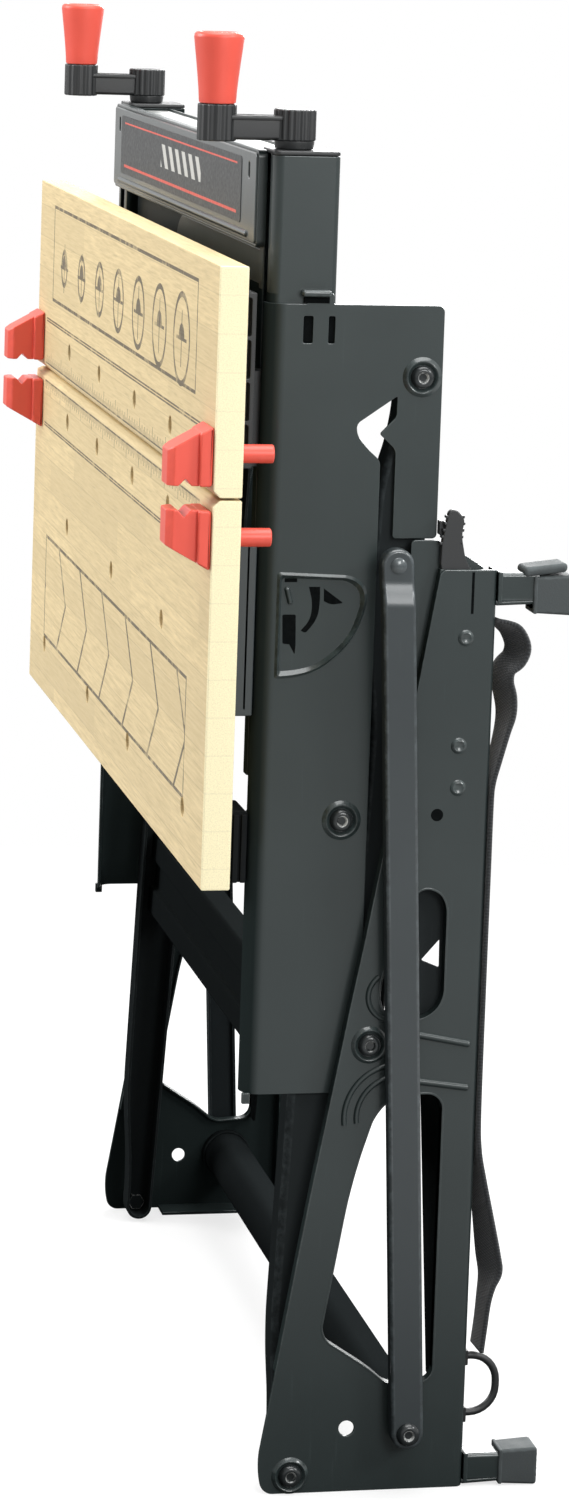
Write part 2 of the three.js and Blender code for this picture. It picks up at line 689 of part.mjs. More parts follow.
// Vice screws, their bearings in the beam ends, and the cranks
function makeScrews() {
  const axis = [BEAM_X, SCREW_Y];
  const topZ = HUB_BOTTOM_Z + SCREW_IN_HUB;
  pair('vice_screw', rodZ(SCREW_RADIUS, axis, SCREW_BOTTOM_Z, topZ), 'zincSteel');
  const fill = BEAM_WIDTH / 2 - SHEET - FIT;
  const depthFill = BEAM_DEPTH / 2 - SHEET - FIT;
  const flangeZ = BEAM_TOP_Z + FIT;
  const flangeTop = flangeZ + BEARING_FLANGE;
  const plug = block(
    [BEAM_X - fill, BEAM_X + fill],
    [BEAM_MID_Y - depthFill, BEAM_MID_Y + depthFill],
    [BEAM_TOP_Z - BEARING_DEPTH, flangeTop],
  );
  const cap = alongZ(
    rectangle([BEAM_INNER_X, BEAM_OUTER_X], [BEAM_FRONT_Y, BEAM_BACK_Y], 3),
    flangeZ,
    flangeTop,
  );
  const bore = rodZ(SCREW_RADIUS + FIT, axis, BEAM_TOP_Z - BEARING_DEPTH - 1, flangeTop + 1);
  pair('screw_bearing', cut(join([plug, cap]), [bore]), 'blackPlastic');
}

const CRANK_ARM_Z = HUB_BOTTOM_Z + CRANK_ARM_LIFT;
const KNOB_AXIS = [BEAM_X, SCREW_Y - CRANK_REACH];
const SOCKET_TOP_Z = CRANK_ARM_Z - 1 + SOCKET_HEIGHT;

function makeCranks() {
  const axis = [BEAM_X, SCREW_Y];
  const hubTop = HUB_BOTTOM_Z + HUB_HEIGHT;
  const hub = turnedAboutZ([
    [0, HUB_BOTTOM_Z],
    [HUB_RADIUS - 1, HUB_BOTTOM_Z],
    [HUB_RADIUS, HUB_BOTTOM_Z + 1],
    [HUB_RADIUS, hubTop - 2],
    [HUB_RADIUS - 2, hubTop],
    [0, hubTop],
  ], axis);
  const armHalf = CRANK_ARM_WIDTH / 2;
  const arm = alongX(
    rectangle([KNOB_AXIS[1], SCREW_Y], [CRANK_ARM_Z, CRANK_ARM_Z + CRANK_ARM_HEIGHT]),
    BEAM_X - armHalf,
    BEAM_X + armHalf,
  );
  const socket = rodZ(SOCKET_RADIUS, KNOB_AXIS, CRANK_ARM_Z - 1, SOCKET_TOP_Z);
  const pin = rodZ(KNOB_PIN_RADIUS, KNOB_AXIS, SOCKET_TOP_Z - 1, SOCKET_TOP_Z + KNOB_PIN_HEIGHT);
  const boreTop = HUB_BOTTOM_Z + SCREW_IN_HUB + FIT;
  const bore = rodZ(SCREW_RADIUS + FIT, axis, HUB_BOTTOM_Z - 1, boreTop);
  pair('crank_arm', cut(join([hub, arm, socket, pin]), [bore]), 'blackPlastic');
}

function makeKnobs() {
  const baseZ = SOCKET_TOP_Z + FIT;
  const topZ = baseZ + KNOB_HEIGHT;
  const boreTop = SOCKET_TOP_Z + KNOB_PIN_HEIGHT + FIT;
  const boreRadius = KNOB_PIN_RADIUS + FIT;
  const knob = turnedAboutZ([
    [0, boreTop],
    [boreRadius, boreTop],
    [boreRadius, baseZ],
    [KNOB_BASE_RADIUS, baseZ],
    [KNOB_TOP_RADIUS, topZ - KNOB_EDGE],
    [KNOB_TOP_RADIUS - KNOB_EDGE, topZ],
    [0, topZ],
  ], KNOB_AXIS);
  pair('crank_knob', knob, 'redPlastic');
}

// Legs: pressed trays, open towards the middle of the bench
function legBody(upper, upperRadius, lower, lowerRadius) {
  const outer = linkOutline(upper, upperRadius, lower, lowerRadius);
  const inner = linkOutline(upper, upperRadius - SHEET, lower, lowerRadius - SHEET);
  const body = alongX(outer, LEG_INNER_X, LEG_OUTER_X, 4);
  const holes = [upper, lower].map((centre) => rodX(PIVOT_HOLE, LEG_INNER_X, LEG_OUTER_X + 1, centre));
  return cut(body, [alongX(inner, LEG_INNER_X - 1, LEG_WEB_X, 4), ...holes]);
}

function pointOnLeg(upper, drop) {
  const share = drop / LEG_DROP;
  return [upper[0] + LEG_LEAN * share, upper[1] - drop];
}

function makeLegs() {
  const rear = legBody(REAR_UPPER_PIVOT, REAR_LEG_TOP_RADIUS, REAR_LOWER_PIVOT, REAR_LEG_BOTTOM_RADIUS);
  const front = legBody(FRONT_UPPER_PIVOT, FRONT_LEG_RADIUS, FRONT_LOWER_PIVOT, FRONT_LEG_RADIUS);
  pair('rear_leg', rear, 'darkSteel');
  pair('front_leg', front, 'darkSteel');
}

// Channel that joins the rear legs into an H, with a groove along its front
function makeLegChannel() {
  const [y, z] = pointOnLeg(REAR_UPPER_PIVOT, LEG_CHANNEL_DROP);
  const reach = LEG_WEB_X - FIT;
  const halfDepth = LEG_CHANNEL_DEPTH / 2;
  const halfHeight = LEG_CHANNEL_HEIGHT / 2;
  const groove = LEG_CHANNEL_HEIGHT / 6;
  const section = outline([
    [-halfDepth, -halfHeight, 3],
    [halfDepth, -halfHeight, 1],
    [halfDepth, -halfHeight + SHEET],
    [-halfDepth + SHEET, -halfHeight + SHEET],
    [-halfDepth + SHEET, -groove - SHEET],
    [-halfDepth + SHEET + LEG_CHANNEL_GROOVE, -groove - SHEET],
    [-halfDepth + SHEET + LEG_CHANNEL_GROOVE, groove + SHEET],
    [-halfDepth + SHEET, groove + SHEET],
    [-halfDepth + SHEET, halfHeight - SHEET],
    [halfDepth, halfHeight - SHEET],
    [halfDepth, halfHeight, 1],
    [-halfDepth, halfHeight, 3],
    [-halfDepth, groove, 1],
    [-halfDepth + LEG_CHANNEL_GROOVE, groove, 1],
    [-halfDepth + LEG_CHANNEL_GROOVE, -groove, 1],
    [-halfDepth, -groove, 1],
  ]);
  const lean = Math.atan2(LEG_LEAN, LEG_DROP);
  const geometry = extruded(section, 2 * reach, 3).applyMatrix4(YZ_TO_X);
  geometry.translate(-reach, 0, 0).rotateX(lean).translate(0, y, z);
  single('rear_leg_channel', solid(geometry), 'darkSteel');
}

function makeLegRod() {
  const reach = LEG_WEB_X - FIT;
  const inner = LEG_ROD_RADIUS - SHEET;
  const centre = pointOnLeg(FRONT_UPPER_PIVOT, LEG_DROP / 2);
  single('front_leg_rod', tubeBody(inner, LEG_ROD_RADIUS, reach, centre), 'darkSteel');
}

function tubeBody(inner, outer, reach, centre) {
  const profile = [[inner, -reach], [outer, -reach], [outer, reach], [inner, reach], [inner, -reach]];
  return turnedAboutX(profile, centre);
}

// Base side plate: a long pressed wedge with two windows
const BASE_FRONT_EDGE = [
  [30, 596, 8], [1.5, 420, 60], [-28, 262, 60], [-50, 130, 40], [-58, 80, 40], [-68, 20, 10],
];

function baseOutline() {
  const floorY = BASE_FRONT_EDGE[BASE_FRONT_EDGE.length - 1][0] + BASE_TOE_SETBACK;
  const shape = outline([
    ...BASE_FRONT_EDGE,
    [floorY, 0, BASE_TOE_RADIUS],
    [BASE_REAR_Y, 0, 3],
    [BASE_REAR_Y, BASE_TOP_Z - 10, 16],
    [BASE_REAR_Y - 18, BASE_TOP_Z, 16],
  ]);
  const upperWindow = outline([
    [14, 312, 8], [36, 312, 8], [43, 322, 8], [43, 385, 8], [36, 394, 8], [24, 394, 8], [17, 380, 8],
  ]);
  const lowerWindow = outline([
    [BASE_STILE_Y, BASE_STILE_Z[1], 10], [BASE_STILE_Y, BASE_STILE_Z[0], 8], [16, 70, 6], [4, 81, 10], [-29, 103, 8], [-21, 152, 30], [-12, 206, 30],
    [2, 250, 16], [16, 261, 10],
  ]);
  shape.holes.push(upperWindow, lowerWindow);
  shape.holes.push(disc(...BASE_HOLE, BASE_HOLE_RADIUS));
  for (const centre of [REAR_LOWER_PIVOT, FRONT_LOWER_PIVOT, STRUT_FOOT_PIVOT]) {
    shape.holes.push(disc(...centre, PIVOT_HOLE));
  }
  shape.holes.push(disc(...LATCH_PIVOT, LATCH_PIN_RADIUS + FIT));
  return shape;
}

// Lip folded in along the front edge of the base side plate
function baseLip() {
  const edge = BASE_FRONT_EDGE.slice(0, -1);
  const inside = edge.map(([y, z]) => [y + BASE_SHEET, z]).reverse();
  const shape = outline([...edge.map(([y, z]) => [y, z]), ...inside]);
  return alongX(shape, BASE_INNER_X - BASE_LIP, BASE_INNER_X + BASE_SHEET / 2);
}

// Flange folded in along the rear stile beside the lower window, deepest at its top
function baseStileFlange() {
  const [lowZ, highZ] = BASE_STILE_Z;
  const [lowDepth, highDepth] = BASE_STILE_FLANGE;
  const shape = outline([
    [BASE_INNER_X + 1, lowZ],
    [BASE_INNER_X + 1, highZ],
    [BASE_INNER_X - highDepth, highZ],
    [BASE_INNER_X - lowDepth, lowZ],
  ]);
  return alongY(shape, BASE_STILE_Y, BASE_STILE_Y + SHEET);
}

// Gusset on the lip behind the upper end of the base side plate
const BASE_GUSSET = [[13, 612, 3], [45, 612, 3], [49, 598, 2], [31, 588], [18, 516, 2], [13, 540, 3]];

function baseGusset() {
  const rootX = BASE_INNER_X - BASE_LIP + 0.4;
  return alongX(outline(BASE_GUSSET), rootX - SHEET, rootX);
}

function baseBead(z) {
  const section = disc(z, BASE_OUTER_X, EMBOSS_BEAD);
  const bead = extruded(section, BASE_REAR_Y - 2 - BASE_BEAD_START_Y, 4);
  const toY = new THREE.Matrix4().set(0, 1, 0, 0, 0, 0, 1, 0, 1, 0, 0, 0, 0, 0, 0, 1);
  return solid(bead.applyMatrix4(toY).translate(0, BASE_BEAD_START_Y, 0));
}

function makeBaseSides() {
  const face = alongX(baseOutline(), BASE_INNER_X, BASE_OUTER_X, 5);
  const rearFlange = block(
    [BASE_INNER_X - BASE_REAR_FLANGE, BASE_OUTER_X],
    [BASE_REAR_Y - BASE_SHEET, BASE_REAR_Y],
    [BASE_SHEET, BASE_TOP_Z - 18],
  );
  const bottomFlange = block(
    [BASE_INNER_X - BASE_BOTTOM_FLANGE, BASE_OUTER_X],
    [BASE_BOTTOM_FLANGE_Y, BASE_REAR_Y - 3],
    [0, BASE_SHEET],
  );
  const beads = BASE_BEAD_Z.map(baseBead);
  const folds = [rearFlange, bottomFlange, baseLip(), baseStileFlange(), baseGusset()];
  pair('base_side', join([face, ...folds, ...beads]), 'slateSteel');
}

// Cross members between the base side plates
function makeBaseCrossMembers() {
  const reach = BASE_INNER_X - FIT;
  const bar = tubeBody(REAR_BAR_RADIUS - SHEET, REAR_BAR_RADIUS, reach, REAR_BAR_CENTRE);
  single('base_rear_bar', bar, 'darkSteel');
  const inner = FRONT_TUBE_RADIUS - SHEET;
  const tube = tubeBody(inner, FRONT_TUBE_RADIUS, reach, FRONT_TUBE_CENTRE);
  single('base_front_tube', tube, 'darkSteel');
}

// Feet: a steel stem on the base side plate and a rubber block pushed on its spigot
function makeFoot(name, blockZ, stemZ) {
  const centreX = BASE_INNER_X - BASE_REAR_FLANGE / 2;
  const stemHalf = FOOT_STEM_WIDTH / 2;
  const blockHalf = FOOT_BLOCK_WIDTH / 2;
  const stemStart = BASE_REAR_Y + FIT;
  const stemEnd = stemStart + FOOT_STEM_LENGTH;
  const midZ = stemZ + FOOT_STEM_HEIGHT / 2;
  const stemPlan = rectangle([centreX - stemHalf, centreX + stemHalf], [stemZ, stemZ + FOOT_STEM_HEIGHT], 3);
  const spigotEnd = stemEnd + FOOT_SPIGOT_LENGTH;
  const spigot = rodY(FOOT_SPIGOT_RADIUS, [centreX, midZ], stemEnd - 1, spigotEnd);
  pair(`${name}_stem`, alongY(stemPlan, stemStart, stemEnd).add(spigot), 'slateSteel');
  const blockPlan = rectangle(
    [centreX - blockHalf, centreX + blockHalf],
    [blockZ, blockZ + FOOT_BLOCK_HEIGHT],
    3,
  );
  const blockStart = stemEnd + FIT;
  const rubber = alongY(blockPlan, blockStart, blockStart + FOOT_BLOCK_LENGTH);
  const socket = rodY(FOOT_SPIGOT_RADIUS + FIT, [centreX, midZ], blockStart - 1, spigotEnd + FIT);
  pair(`${name}_foot`, cut(rubber, [socket]), 'footRubber');
}

function makeFeet() {
  const rise = (FOOT_BLOCK_HEIGHT - FOOT_STEM_HEIGHT) / 2;
  makeFoot('upper', UPPER_FOOT_Z, UPPER_FOOT_Z + 2 * rise);
  makeFoot('lower', 0, rise);
}

// Pivot bolts: head outside, collar between the plates, nut inside the leg
function pivotBolt(plateInnerX, plateOuterX, centre) {
  const seat = plateOuterX + FIT;
  const top = seat + BOLT_HEAD_HEIGHT;
  const nutTop = LEG_WEB_X - FIT;
  return turnedAboutX([
    [0, nutTop - NUT_HEIGHT],
    [NUT_RADIUS, nutTop - NUT_HEIGHT],
    [NUT_RADIUS, nutTop],
    [BOLT_RADIUS, nutTop],
    [BOLT_RADIUS, LEG_OUTER_X + FIT],
    [BOLT_COLLAR_RADIUS, LEG_OUTER_X + FIT],
    [BOLT_COLLAR_RADIUS, plateInnerX - FIT],
    [BOLT_RADIUS, plateInnerX - FIT],
    [BOLT_RADIUS, seat],
    [BOLT_HEAD_RADIUS, seat],
    [BOLT_HEAD_RADIUS, top - 1.5],
    [BOLT_HEAD_RADIUS - 2, top],
    [0, top],
  ], centre);
}

function makePivotBolts() {
  pair('upper_rear_bolt', pivotBolt(PLATE_INNER_X, PLATE_OUTER_X, REAR_UPPER_PIVOT), 'darkSteel');
  pair('upper_front_bolt', pivotBolt(PLATE_INNER_X, PLATE_OUTER_X, FRONT_UPPER_PIVOT), 'darkSteel');
  pair('lower_rear_bolt', pivotBolt(BASE_INNER_X, BASE_OUTER_X, REAR_LOWER_PIVOT), 'darkSteel');
  pair('lower_front_bolt', pivotBolt(BASE_INNER_X, BASE_OUTER_X, FRONT_LOWER_PIVOT), 'darkSteel');
}

// Struts: narrow channels outside everything, each with a head pin that reaches for the side plate
function makeStruts() {
  const outer = linkOutline(STRUT_HEAD_PIN, STRUT_RADIUS, STRUT_FOOT_PIVOT, STRUT_RADIUS);
  const innerRadius = STRUT_RADIUS - SHEET;
  const inner = linkOutline(STRUT_HEAD_PIN, innerRadius, STRUT_FOOT_PIVOT, innerRadius);
  const hole = rodX(PIVOT_HOLE, STRUT_INNER_X, STRUT_OUTER_X + 1, STRUT_FOOT_PIVOT);
  const channel = cut(alongX(outer, STRUT_INNER_X, STRUT_OUTER_X, 4), [
    alongX(inner, STRUT_INNER_X - 1, STRUT_WEB_X, 4),
    hole,
  ]);
  const pin = rodX(STRUT_PIN_RADIUS, PLATE_OUTER_X + STRUT_PIN_GAP, STRUT_WEB_X + 1, STRUT_HEAD_PIN);
  pair('strut', channel.add(pin), 'strutSteel');
}

function makeStrutBolts() {
  const seat = STRUT_OUTER_X + FIT;
  const top = seat + BOLT_HEAD_HEIGHT;
  const nutTop = BASE_INNER_X - FIT;
  const bolt = turnedAboutX([
    [0, nutTop - NUT_HEIGHT],
    [NUT_RADIUS, nutTop - NUT_HEIGHT],
    [NUT_RADIUS, nutTop],
    [BOLT_RADIUS, nutTop],
    [BOLT_RADIUS, BASE_OUTER_X + FIT],
    [BOLT_COLLAR_RADIUS, BASE_OUTER_X + FIT],
    [BOLT_COLLAR_RADIUS, STRUT_WEB_X - FIT],
    [BOLT_RADIUS, STRUT_WEB_X - FIT],
    [BOLT_RADIUS, seat],
    [BOLT_HEAD_RADIUS, seat],
    [BOLT_HEAD_RADIUS, top - 1.5],
    [BOLT_HEAD_RADIUS - 2, top],
    [0, top],
  ], STRUT_FOOT_PIVOT);
  pair('strut_bolt', bolt, 'darkSteel');
}

// Tie strap lying along the rear flange of the right-hand base plate
const STRAP_ROUTE = [
  [0.2, 566], [5, 562], [13, 556], [16, 546], [10, 532], [4, 519], [7, 506], [9, 496], [4, 476], [1, 462],
  [0.2, 448], [0.1, 400], [0, 330], [0.1, 250], [0.6, 224], [3, 204], [8, 178], [14, 150], [11, 138], [4, 130],
  [0.8, 120], [0.2, 104],
];

function makeStrap() {
  const centreX = BASE_INNER_X - STRAP_INSET;
  const lying = BASE_REAR_Y + FIT + STRAP_THICKNESS / 2;
  const points = STRAP_ROUTE.map(([lift, z]) => new THREE.Vector3(centreX, lying + lift, z));
  const path = new THREE.CatmullRomCurve3(points);
  const halfWidth = STRAP_WIDTH / 2;
  const halfThick = STRAP_THICKNESS / 2;
  const section = rectangle([-halfWidth, halfWidth], [-halfThick, halfThick]);
  const options = { steps: 44, bevelEnabled: false, extrudePath: path };
  single('tie_strap', solid(new THREE.ExtrudeGeometry(section, options)), 'webbing');
}

function makeStrapLoop() {
  const centreX = BASE_INNER_X - STRAP_INSET;
  const start = BASE_REAR_Y + FIT;
  const far = start + LOOP_REACH;
  const corners = [
    [start, LOOP_TOP_Z], [far - 8, LOOP_TOP_Z], [far - 2, LOOP_TOP_Z - 6], [far, LOOP_TOP_Z - 16],
    [far, LOOP_BOTTOM_Z + 16], [far - 2, LOOP_BOTTOM_Z + 6], [far - 8, LOOP_BOTTOM_Z], [start, LOOP_BOTTOM_Z],
  ];
  const path = new THREE.CatmullRomCurve3(corners.map(([y, z]) => new THREE.Vector3(centreX, y, z)));
  const section = disc(0, 0, LOOP_WIRE_RADIUS);
  const options = { steps: 18, curveSegments: 4, bevelEnabled: false, extrudePath: path };
  single('strap_loop', solid(new THREE.ExtrudeGeometry(section, options)), 'blackPlastic');
}

// Latch lever with a ribbed thumb end and a tooth behind the side plate's rear edge
function makeLatch() {
  const outerX = BASE_INNER_X - FIT;
  const innerX = outerX - LATCH_THICKNESS;
  const [y, z] = LATCH_PIVOT;
  const lever = outline([
    [y - LATCH_BOSS_RADIUS, z - LATCH_BOSS_RADIUS, 6],
    [y + LATCH_BOSS_RADIUS, z - LATCH_BOSS_RADIUS, 6],
    [y + LATCH_BOSS_RADIUS, z + LATCH_BOSS_RADIUS, 5],
    [y - 2, LATCH_TIP_Z - 20, 8],
    [y - 4, LATCH_TIP_Z, 3],
    [y - 13, LATCH_TIP_Z - 1, 3],
    [PLATE_REAR_Y + 1, LATCH_TIP_Z - 22, 4],
  ]);
  const body = alongX(lever, innerX, outerX, 3);
  const tooth = block(
    [PLATE_INNER_X, innerX + 1],
    [PLATE_REAR_Y + SLIDE_GAP, PLATE_REAR_Y + SLIDE_GAP + LATCH_TOOTH],
    [PLATE_HOOK_BOTTOM_Z + 3, LATCH_TIP_Z - 8],
  );
  const pin = rodX(LATCH_PIN_RADIUS, innerX, BASE_OUTER_X + 2, LATCH_PIVOT);
  const ribs = Array.from({ length: LATCH_RIBS }, (_, i) => {
    const ribZ = LATCH_TIP_Z - 3 - i * 5;
    return block([innerX, outerX], [y - 5 + i * 0.6, y - 2.6 + i * 0.6], [ribZ - 2, ribZ]);
  });
  single('fold_latch', join([body, tooth, pin, ...ribs]), 'blackPlastic');
}

makeJaws();
makePegs();
makeBeams();
makeSidePlates();
makeApron();
makeTiePlate();
makeCarriers();
makeRearSupports();
makeScrews();
makeCranks();
makeKnobs();
makeLegs();
makeLegChannel();
makeLegRod();
makeBaseSides();
makeBaseCrossMembers();
makeFeet();
makePivotBolts();
makeStruts();
makeStrutBolts();
makeStrap();
makeStrapLoop();
makeLatch();

// The origin lies under the middle of the folded bench, on the surface it stands on
bench.position.y = -(FRONTMOST_Y + REARMOST_Y) / 2;

export default bench;
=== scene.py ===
"""Folding workbench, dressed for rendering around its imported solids.

Lengths in the shape code are millimetres.
"""

import json
import math

import bmesh
import bpy
from mathutils import Matrix, Vector

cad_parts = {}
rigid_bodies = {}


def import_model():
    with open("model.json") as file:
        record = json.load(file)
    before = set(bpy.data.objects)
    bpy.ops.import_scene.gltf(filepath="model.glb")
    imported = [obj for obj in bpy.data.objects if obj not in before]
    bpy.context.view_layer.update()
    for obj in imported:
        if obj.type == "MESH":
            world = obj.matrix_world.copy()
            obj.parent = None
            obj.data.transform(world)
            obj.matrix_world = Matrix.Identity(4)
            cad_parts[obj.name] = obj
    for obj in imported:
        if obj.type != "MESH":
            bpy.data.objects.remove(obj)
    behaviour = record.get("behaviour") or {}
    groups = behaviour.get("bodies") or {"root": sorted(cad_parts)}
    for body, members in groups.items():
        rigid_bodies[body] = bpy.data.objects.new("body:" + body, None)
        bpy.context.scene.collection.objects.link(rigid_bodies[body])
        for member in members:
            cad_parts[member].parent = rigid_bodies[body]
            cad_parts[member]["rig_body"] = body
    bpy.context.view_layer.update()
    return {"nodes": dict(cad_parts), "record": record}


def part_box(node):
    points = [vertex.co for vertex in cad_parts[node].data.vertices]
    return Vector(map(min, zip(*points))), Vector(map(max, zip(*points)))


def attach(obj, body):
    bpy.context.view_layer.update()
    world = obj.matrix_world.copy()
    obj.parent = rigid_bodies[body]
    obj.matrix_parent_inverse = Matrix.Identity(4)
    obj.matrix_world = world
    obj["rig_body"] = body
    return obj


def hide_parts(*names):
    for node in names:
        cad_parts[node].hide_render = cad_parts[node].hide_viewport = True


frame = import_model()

bl_info = {
    "name": "Folding workbench",
    "version": (1, 0, 0),
    "blender": (4, 5, 0),
    "location": "View3D > Sidebar > Workbench",
    "description": "Builds the finished pieces, materials and studio of a folding workbench",
    "category": "Object",
}

# Planes and pivots, in millimetres from the bench's own origin; the right-hand side is towards +X
JAW_FACE_Y, JAW_BACK_Y = -127.5, -109.5
JAW_HALF = 370.0
SPLIT_Z = 651.25
PEG_X = 351.0
FRONT_ROW_Z, REAR_ROW_Z = 677.0, 625.5
BEAM_X = 274.0
BEAM_IN, BEAM_OUT = 253.0, 295.0
BEAM_FRONT, BEAM_BACK = -81.0, -39.0
BEAM_LOW, BEAM_TOP = 460.0, 855.5
BEAM_GAP = 252.7
SCREW_Y = -65.0
KNOB_Y = -114.5
HUB_Z = 858.8
SOCKET_TOP_Z = 885.8
BLOCK_IN, BLOCK_OUT = 256.0, 292.0
BLOCK_BACK_Y = -83.6
PLATE_IN, PLATE_OUT = 295.3, 297.3
LEG_IN, LEG_OUT = 271.0, 293.0
CROSS_X = 290.7
BASE_IN, BASE_OUT = 306.3, 308.8
BASE_HALF = 306.0
BASE_REAR_Y = 68.0
STRUT_IN, STRUT_OUT = 313.8, 323.8
REAR_LEG = ((-25.0, 437.0), (-46.0, 12.0))
FRONT_LEG = ((17.0, 719.0), (-4.0, 294.0))
STRUT = ((1.0, 603.0), (27.0, 42.0))
STRUT_SEAT = (-19.0, 686.0)
STRUT_PIN = 4.0
BOLT_RADIUS, BOLT_HOLE = 4.0, 4.3
TAB_SLOTS = ((-60, 6), (-44, 4))
LATCH_PIVOT = (47.0, 590.0)
FOOT_X = 299.3
STRAP_X = 297.3

SHIFT_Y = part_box("rear_jaw")[0].y - JAW_FACE_Y / 1000
TO_ROW = Matrix.Translation((0, SHIFT_Y, 0)) @ Matrix.Scale(0.001, 4)

AXES = {"X": (1, 2, 0), "Y": (0, 2, 1), "Z": (0, 1, 2)}
TURN = {
    "X": Matrix.Rotation(math.pi / 2, 4, "Y"),
    "Y": Matrix.Rotation(math.pi / 2, 4, "X"),
    "Z": Matrix.Identity(4),
}


def srgb(red, green, blue):
    """A colour written from 0 to 255, as the linear values that a shader takes."""

    def linear(level):
        share = level / 255
        return share / 12.92 if share <= 0.04045 else ((share + 0.055) / 1.055) ** 2.4

    return (linear(red), linear(green), linear(blue))


# Settings


def colour_setting(name, description, default):
    return bpy.props.FloatVectorProperty(
        name=name, description=description, subtype="COLOR", size=3, min=0, max=1, default=default
    )


def length_setting(name, description, default):
    return bpy.props.FloatProperty(
        name=name, description=description, unit="LENGTH", min=0, precision=4, default=default
    )


class WorkbenchColours(bpy.types.PropertyGroup):
    """Colours of the finishes."""

    slate: colour_setting("Slate steel", "Coat of the plates, beams and base", srgb(43, 51, 51))
    strut: colour_setting("Strut steel", "Coat of the bracing struts", srgb(55, 61, 63))
    dark: colour_setting("Dark steel", "Coat of the legs, bolts and bars", srgb(38, 42, 43))
    zinc: colour_setting("Zinc", "Plating of the vice screws", srgb(156, 158, 156))
    wood: colour_setting("Wood", "Faces of the jaw boards", srgb(222, 200, 153))
    wood_end: colour_setting("Wood ends", "Cut ends of the jaw boards", srgb(250, 239, 198))
    ink: colour_setting("Ink", "Ruled lines on the jaw boards", srgb(58, 52, 48))
    red: colour_setting("Red plastic", "Swivel pegs and crank knobs", srgb(224, 84, 68))
    grey: colour_setting("Grey plastic", "Supports under the rear jaw", srgb(50, 56, 58))
    black: colour_setting("Black plastic", "Cranks, bearings, latch and loop", srgb(28, 30, 31))
    rubber: colour_setting("Rubber", "Feet", srgb(64, 69, 70))
    webbing: colour_setting("Webbing", "Tie strap", srgb(38, 40, 42))


class WorkbenchSizes(bpy.types.PropertyGroup):
    """Sizes of the fine forms that the solids leave plain."""

    steel_edge: length_setting("Steel edge", "Rounding of the cut edges of sheet steel", 0.0005)
    bend: length_setting("Bend", "Outer radius where a side plate is folded", 0.0125)
    wood_edge: length_setting("Wood edge", "Rounding of the edges of the jaw boards", 0.0011)
    plastic_edge: length_setting("Plastic edge", "Rounding of the edges of mouldings", 0.0011)
    rubber_edge: length_setting("Rubber edge", "Rounding of the edges of the feet", 0.0022)
    thread_pitch: length_setting("Thread pitch", "Rise of the vice screws in one turn", 0.005)
    joggle: length_setting("Joggle", "Set of the strut's head towards the bench", 0.004)
    weave: length_setting("Weave", "Pitch of the strap's weave", 0.0021)


def size(name):
    return getattr(bpy.context.scene.workbench_sizes, name) * 1000


def colour(name):
    return tuple(getattr(bpy.context.scene.workbench_colours, name))


# Shapes


def point(axis, u, v, w):
    """A point with u and v across the axis and w along it."""
    across, up, along = AXES[axis]
    place = Vector((0, 0, 0))
    place[across], place[up], place[along] = u, v, w
    return place


def blank():
    bm = bmesh.new()
    # The edge layer marks worn bevels, and faces that carry a painted highlight.
    bm.faces.layers.float.new("edge")
    return bm


def add(bm, *parts):
    """Joins the parts into bm and frees them."""
    for part in parts:
        held = bpy.data.meshes.new("held")
        part.to_mesh(held)
        part.free()
        bm.from_mesh(held)
        bpy.data.meshes.remove(held)
    return bm


def only(items, kind):
    return [item for item in items if isinstance(item, kind)]


def outward(bm):
    bmesh.ops.recalc_face_normals(bm, faces=bm.faces[:])
    return bm


def weld(bm):
    bmesh.ops.remove_doubles(bm, verts=bm.verts[:], dist=1e-4)
    return outward(bm)


def grow(bm, faces, vec, keep=False):
    """Extrudes the faces along vec and returns the faces at the far end."""
    made = bmesh.ops.extrude_face_region(bm, geom=faces, use_keep_orig=keep)["geom"]
    bmesh.ops.translate(bm, verts=only(made, bmesh.types.BMVert), vec=vec)
    return only(made, bmesh.types.BMFace)


def bevel(bm, geom, offset, measure, segments, affect):
    return bmesh.ops.bevel(
        bm,
        geom=geom,
        offset=offset,
        offset_type=measure,
        segments=segments,
        profile=0.5,
        affect=affect,
        material=-1,
        clamp_overlap=False,
    )


def rect(u0, v0, u1, v1, ease=0):
    """The corners of a rectangle, each with the same ease."""
    return [(u0, v0, ease), (u1, v0, ease), (u1, v1, ease), (u0, v1, ease)]


def loop(bm, axis, w, corners, segments):
    """A closed wire through corners (u, v, ease), each eased corner bevelled to an arc."""
    verts = [bm.verts.new(point(axis, corner[0], corner[1], w)) for corner in corners]
    count = len(verts)
    for i, vert in enumerate(verts):
        bm.edges.new((vert, verts[(i + 1) % count]))
    places = [vert.co.copy() for vert in verts]
    for i, corner in enumerate(corners):
        if len(corner) < 3 or corner[2] <= 0:
            continue
        before = (places[i] - places[i - 1]).length
        after = (places[i] - places[(i + 1) % count]).length
        ease = min(corner[2], before * 0.49, after * 0.49)
        bevel(bm, [verts[i]], ease, "ABSOLUTE", segments, "VERTICES")


def thicken(bm, axis, depth):
    grow(bm, bm.faces[:], point(axis, 0, 0, depth), keep=True)
    return outward(bm)


def plate(axis, w0, w1, corners, holes=(), rounds=(), segments=6, steps=24):
    """A flat solid between two planes, with shaped holes and round holes (u, v, radius)."""
    bm = blank()
    for outline in (corners, *holes):
        loop(bm, axis, w0, outline, segments)
    for u, v, radius in rounds:
        place = Matrix.Translation(point(axis, u, v, w0)) @ TURN[axis]
        bmesh.ops.create_circle(bm, cap_ends=False, radius=radius, segments=steps, matrix=place)
    bmesh.ops.triangle_fill(
        bm, use_beauty=True, use_dissolve=True, edges=bm.edges[:], normal=point(axis, 0, 0, 1)
    )
    return thicken(bm, axis, w1 - w0)


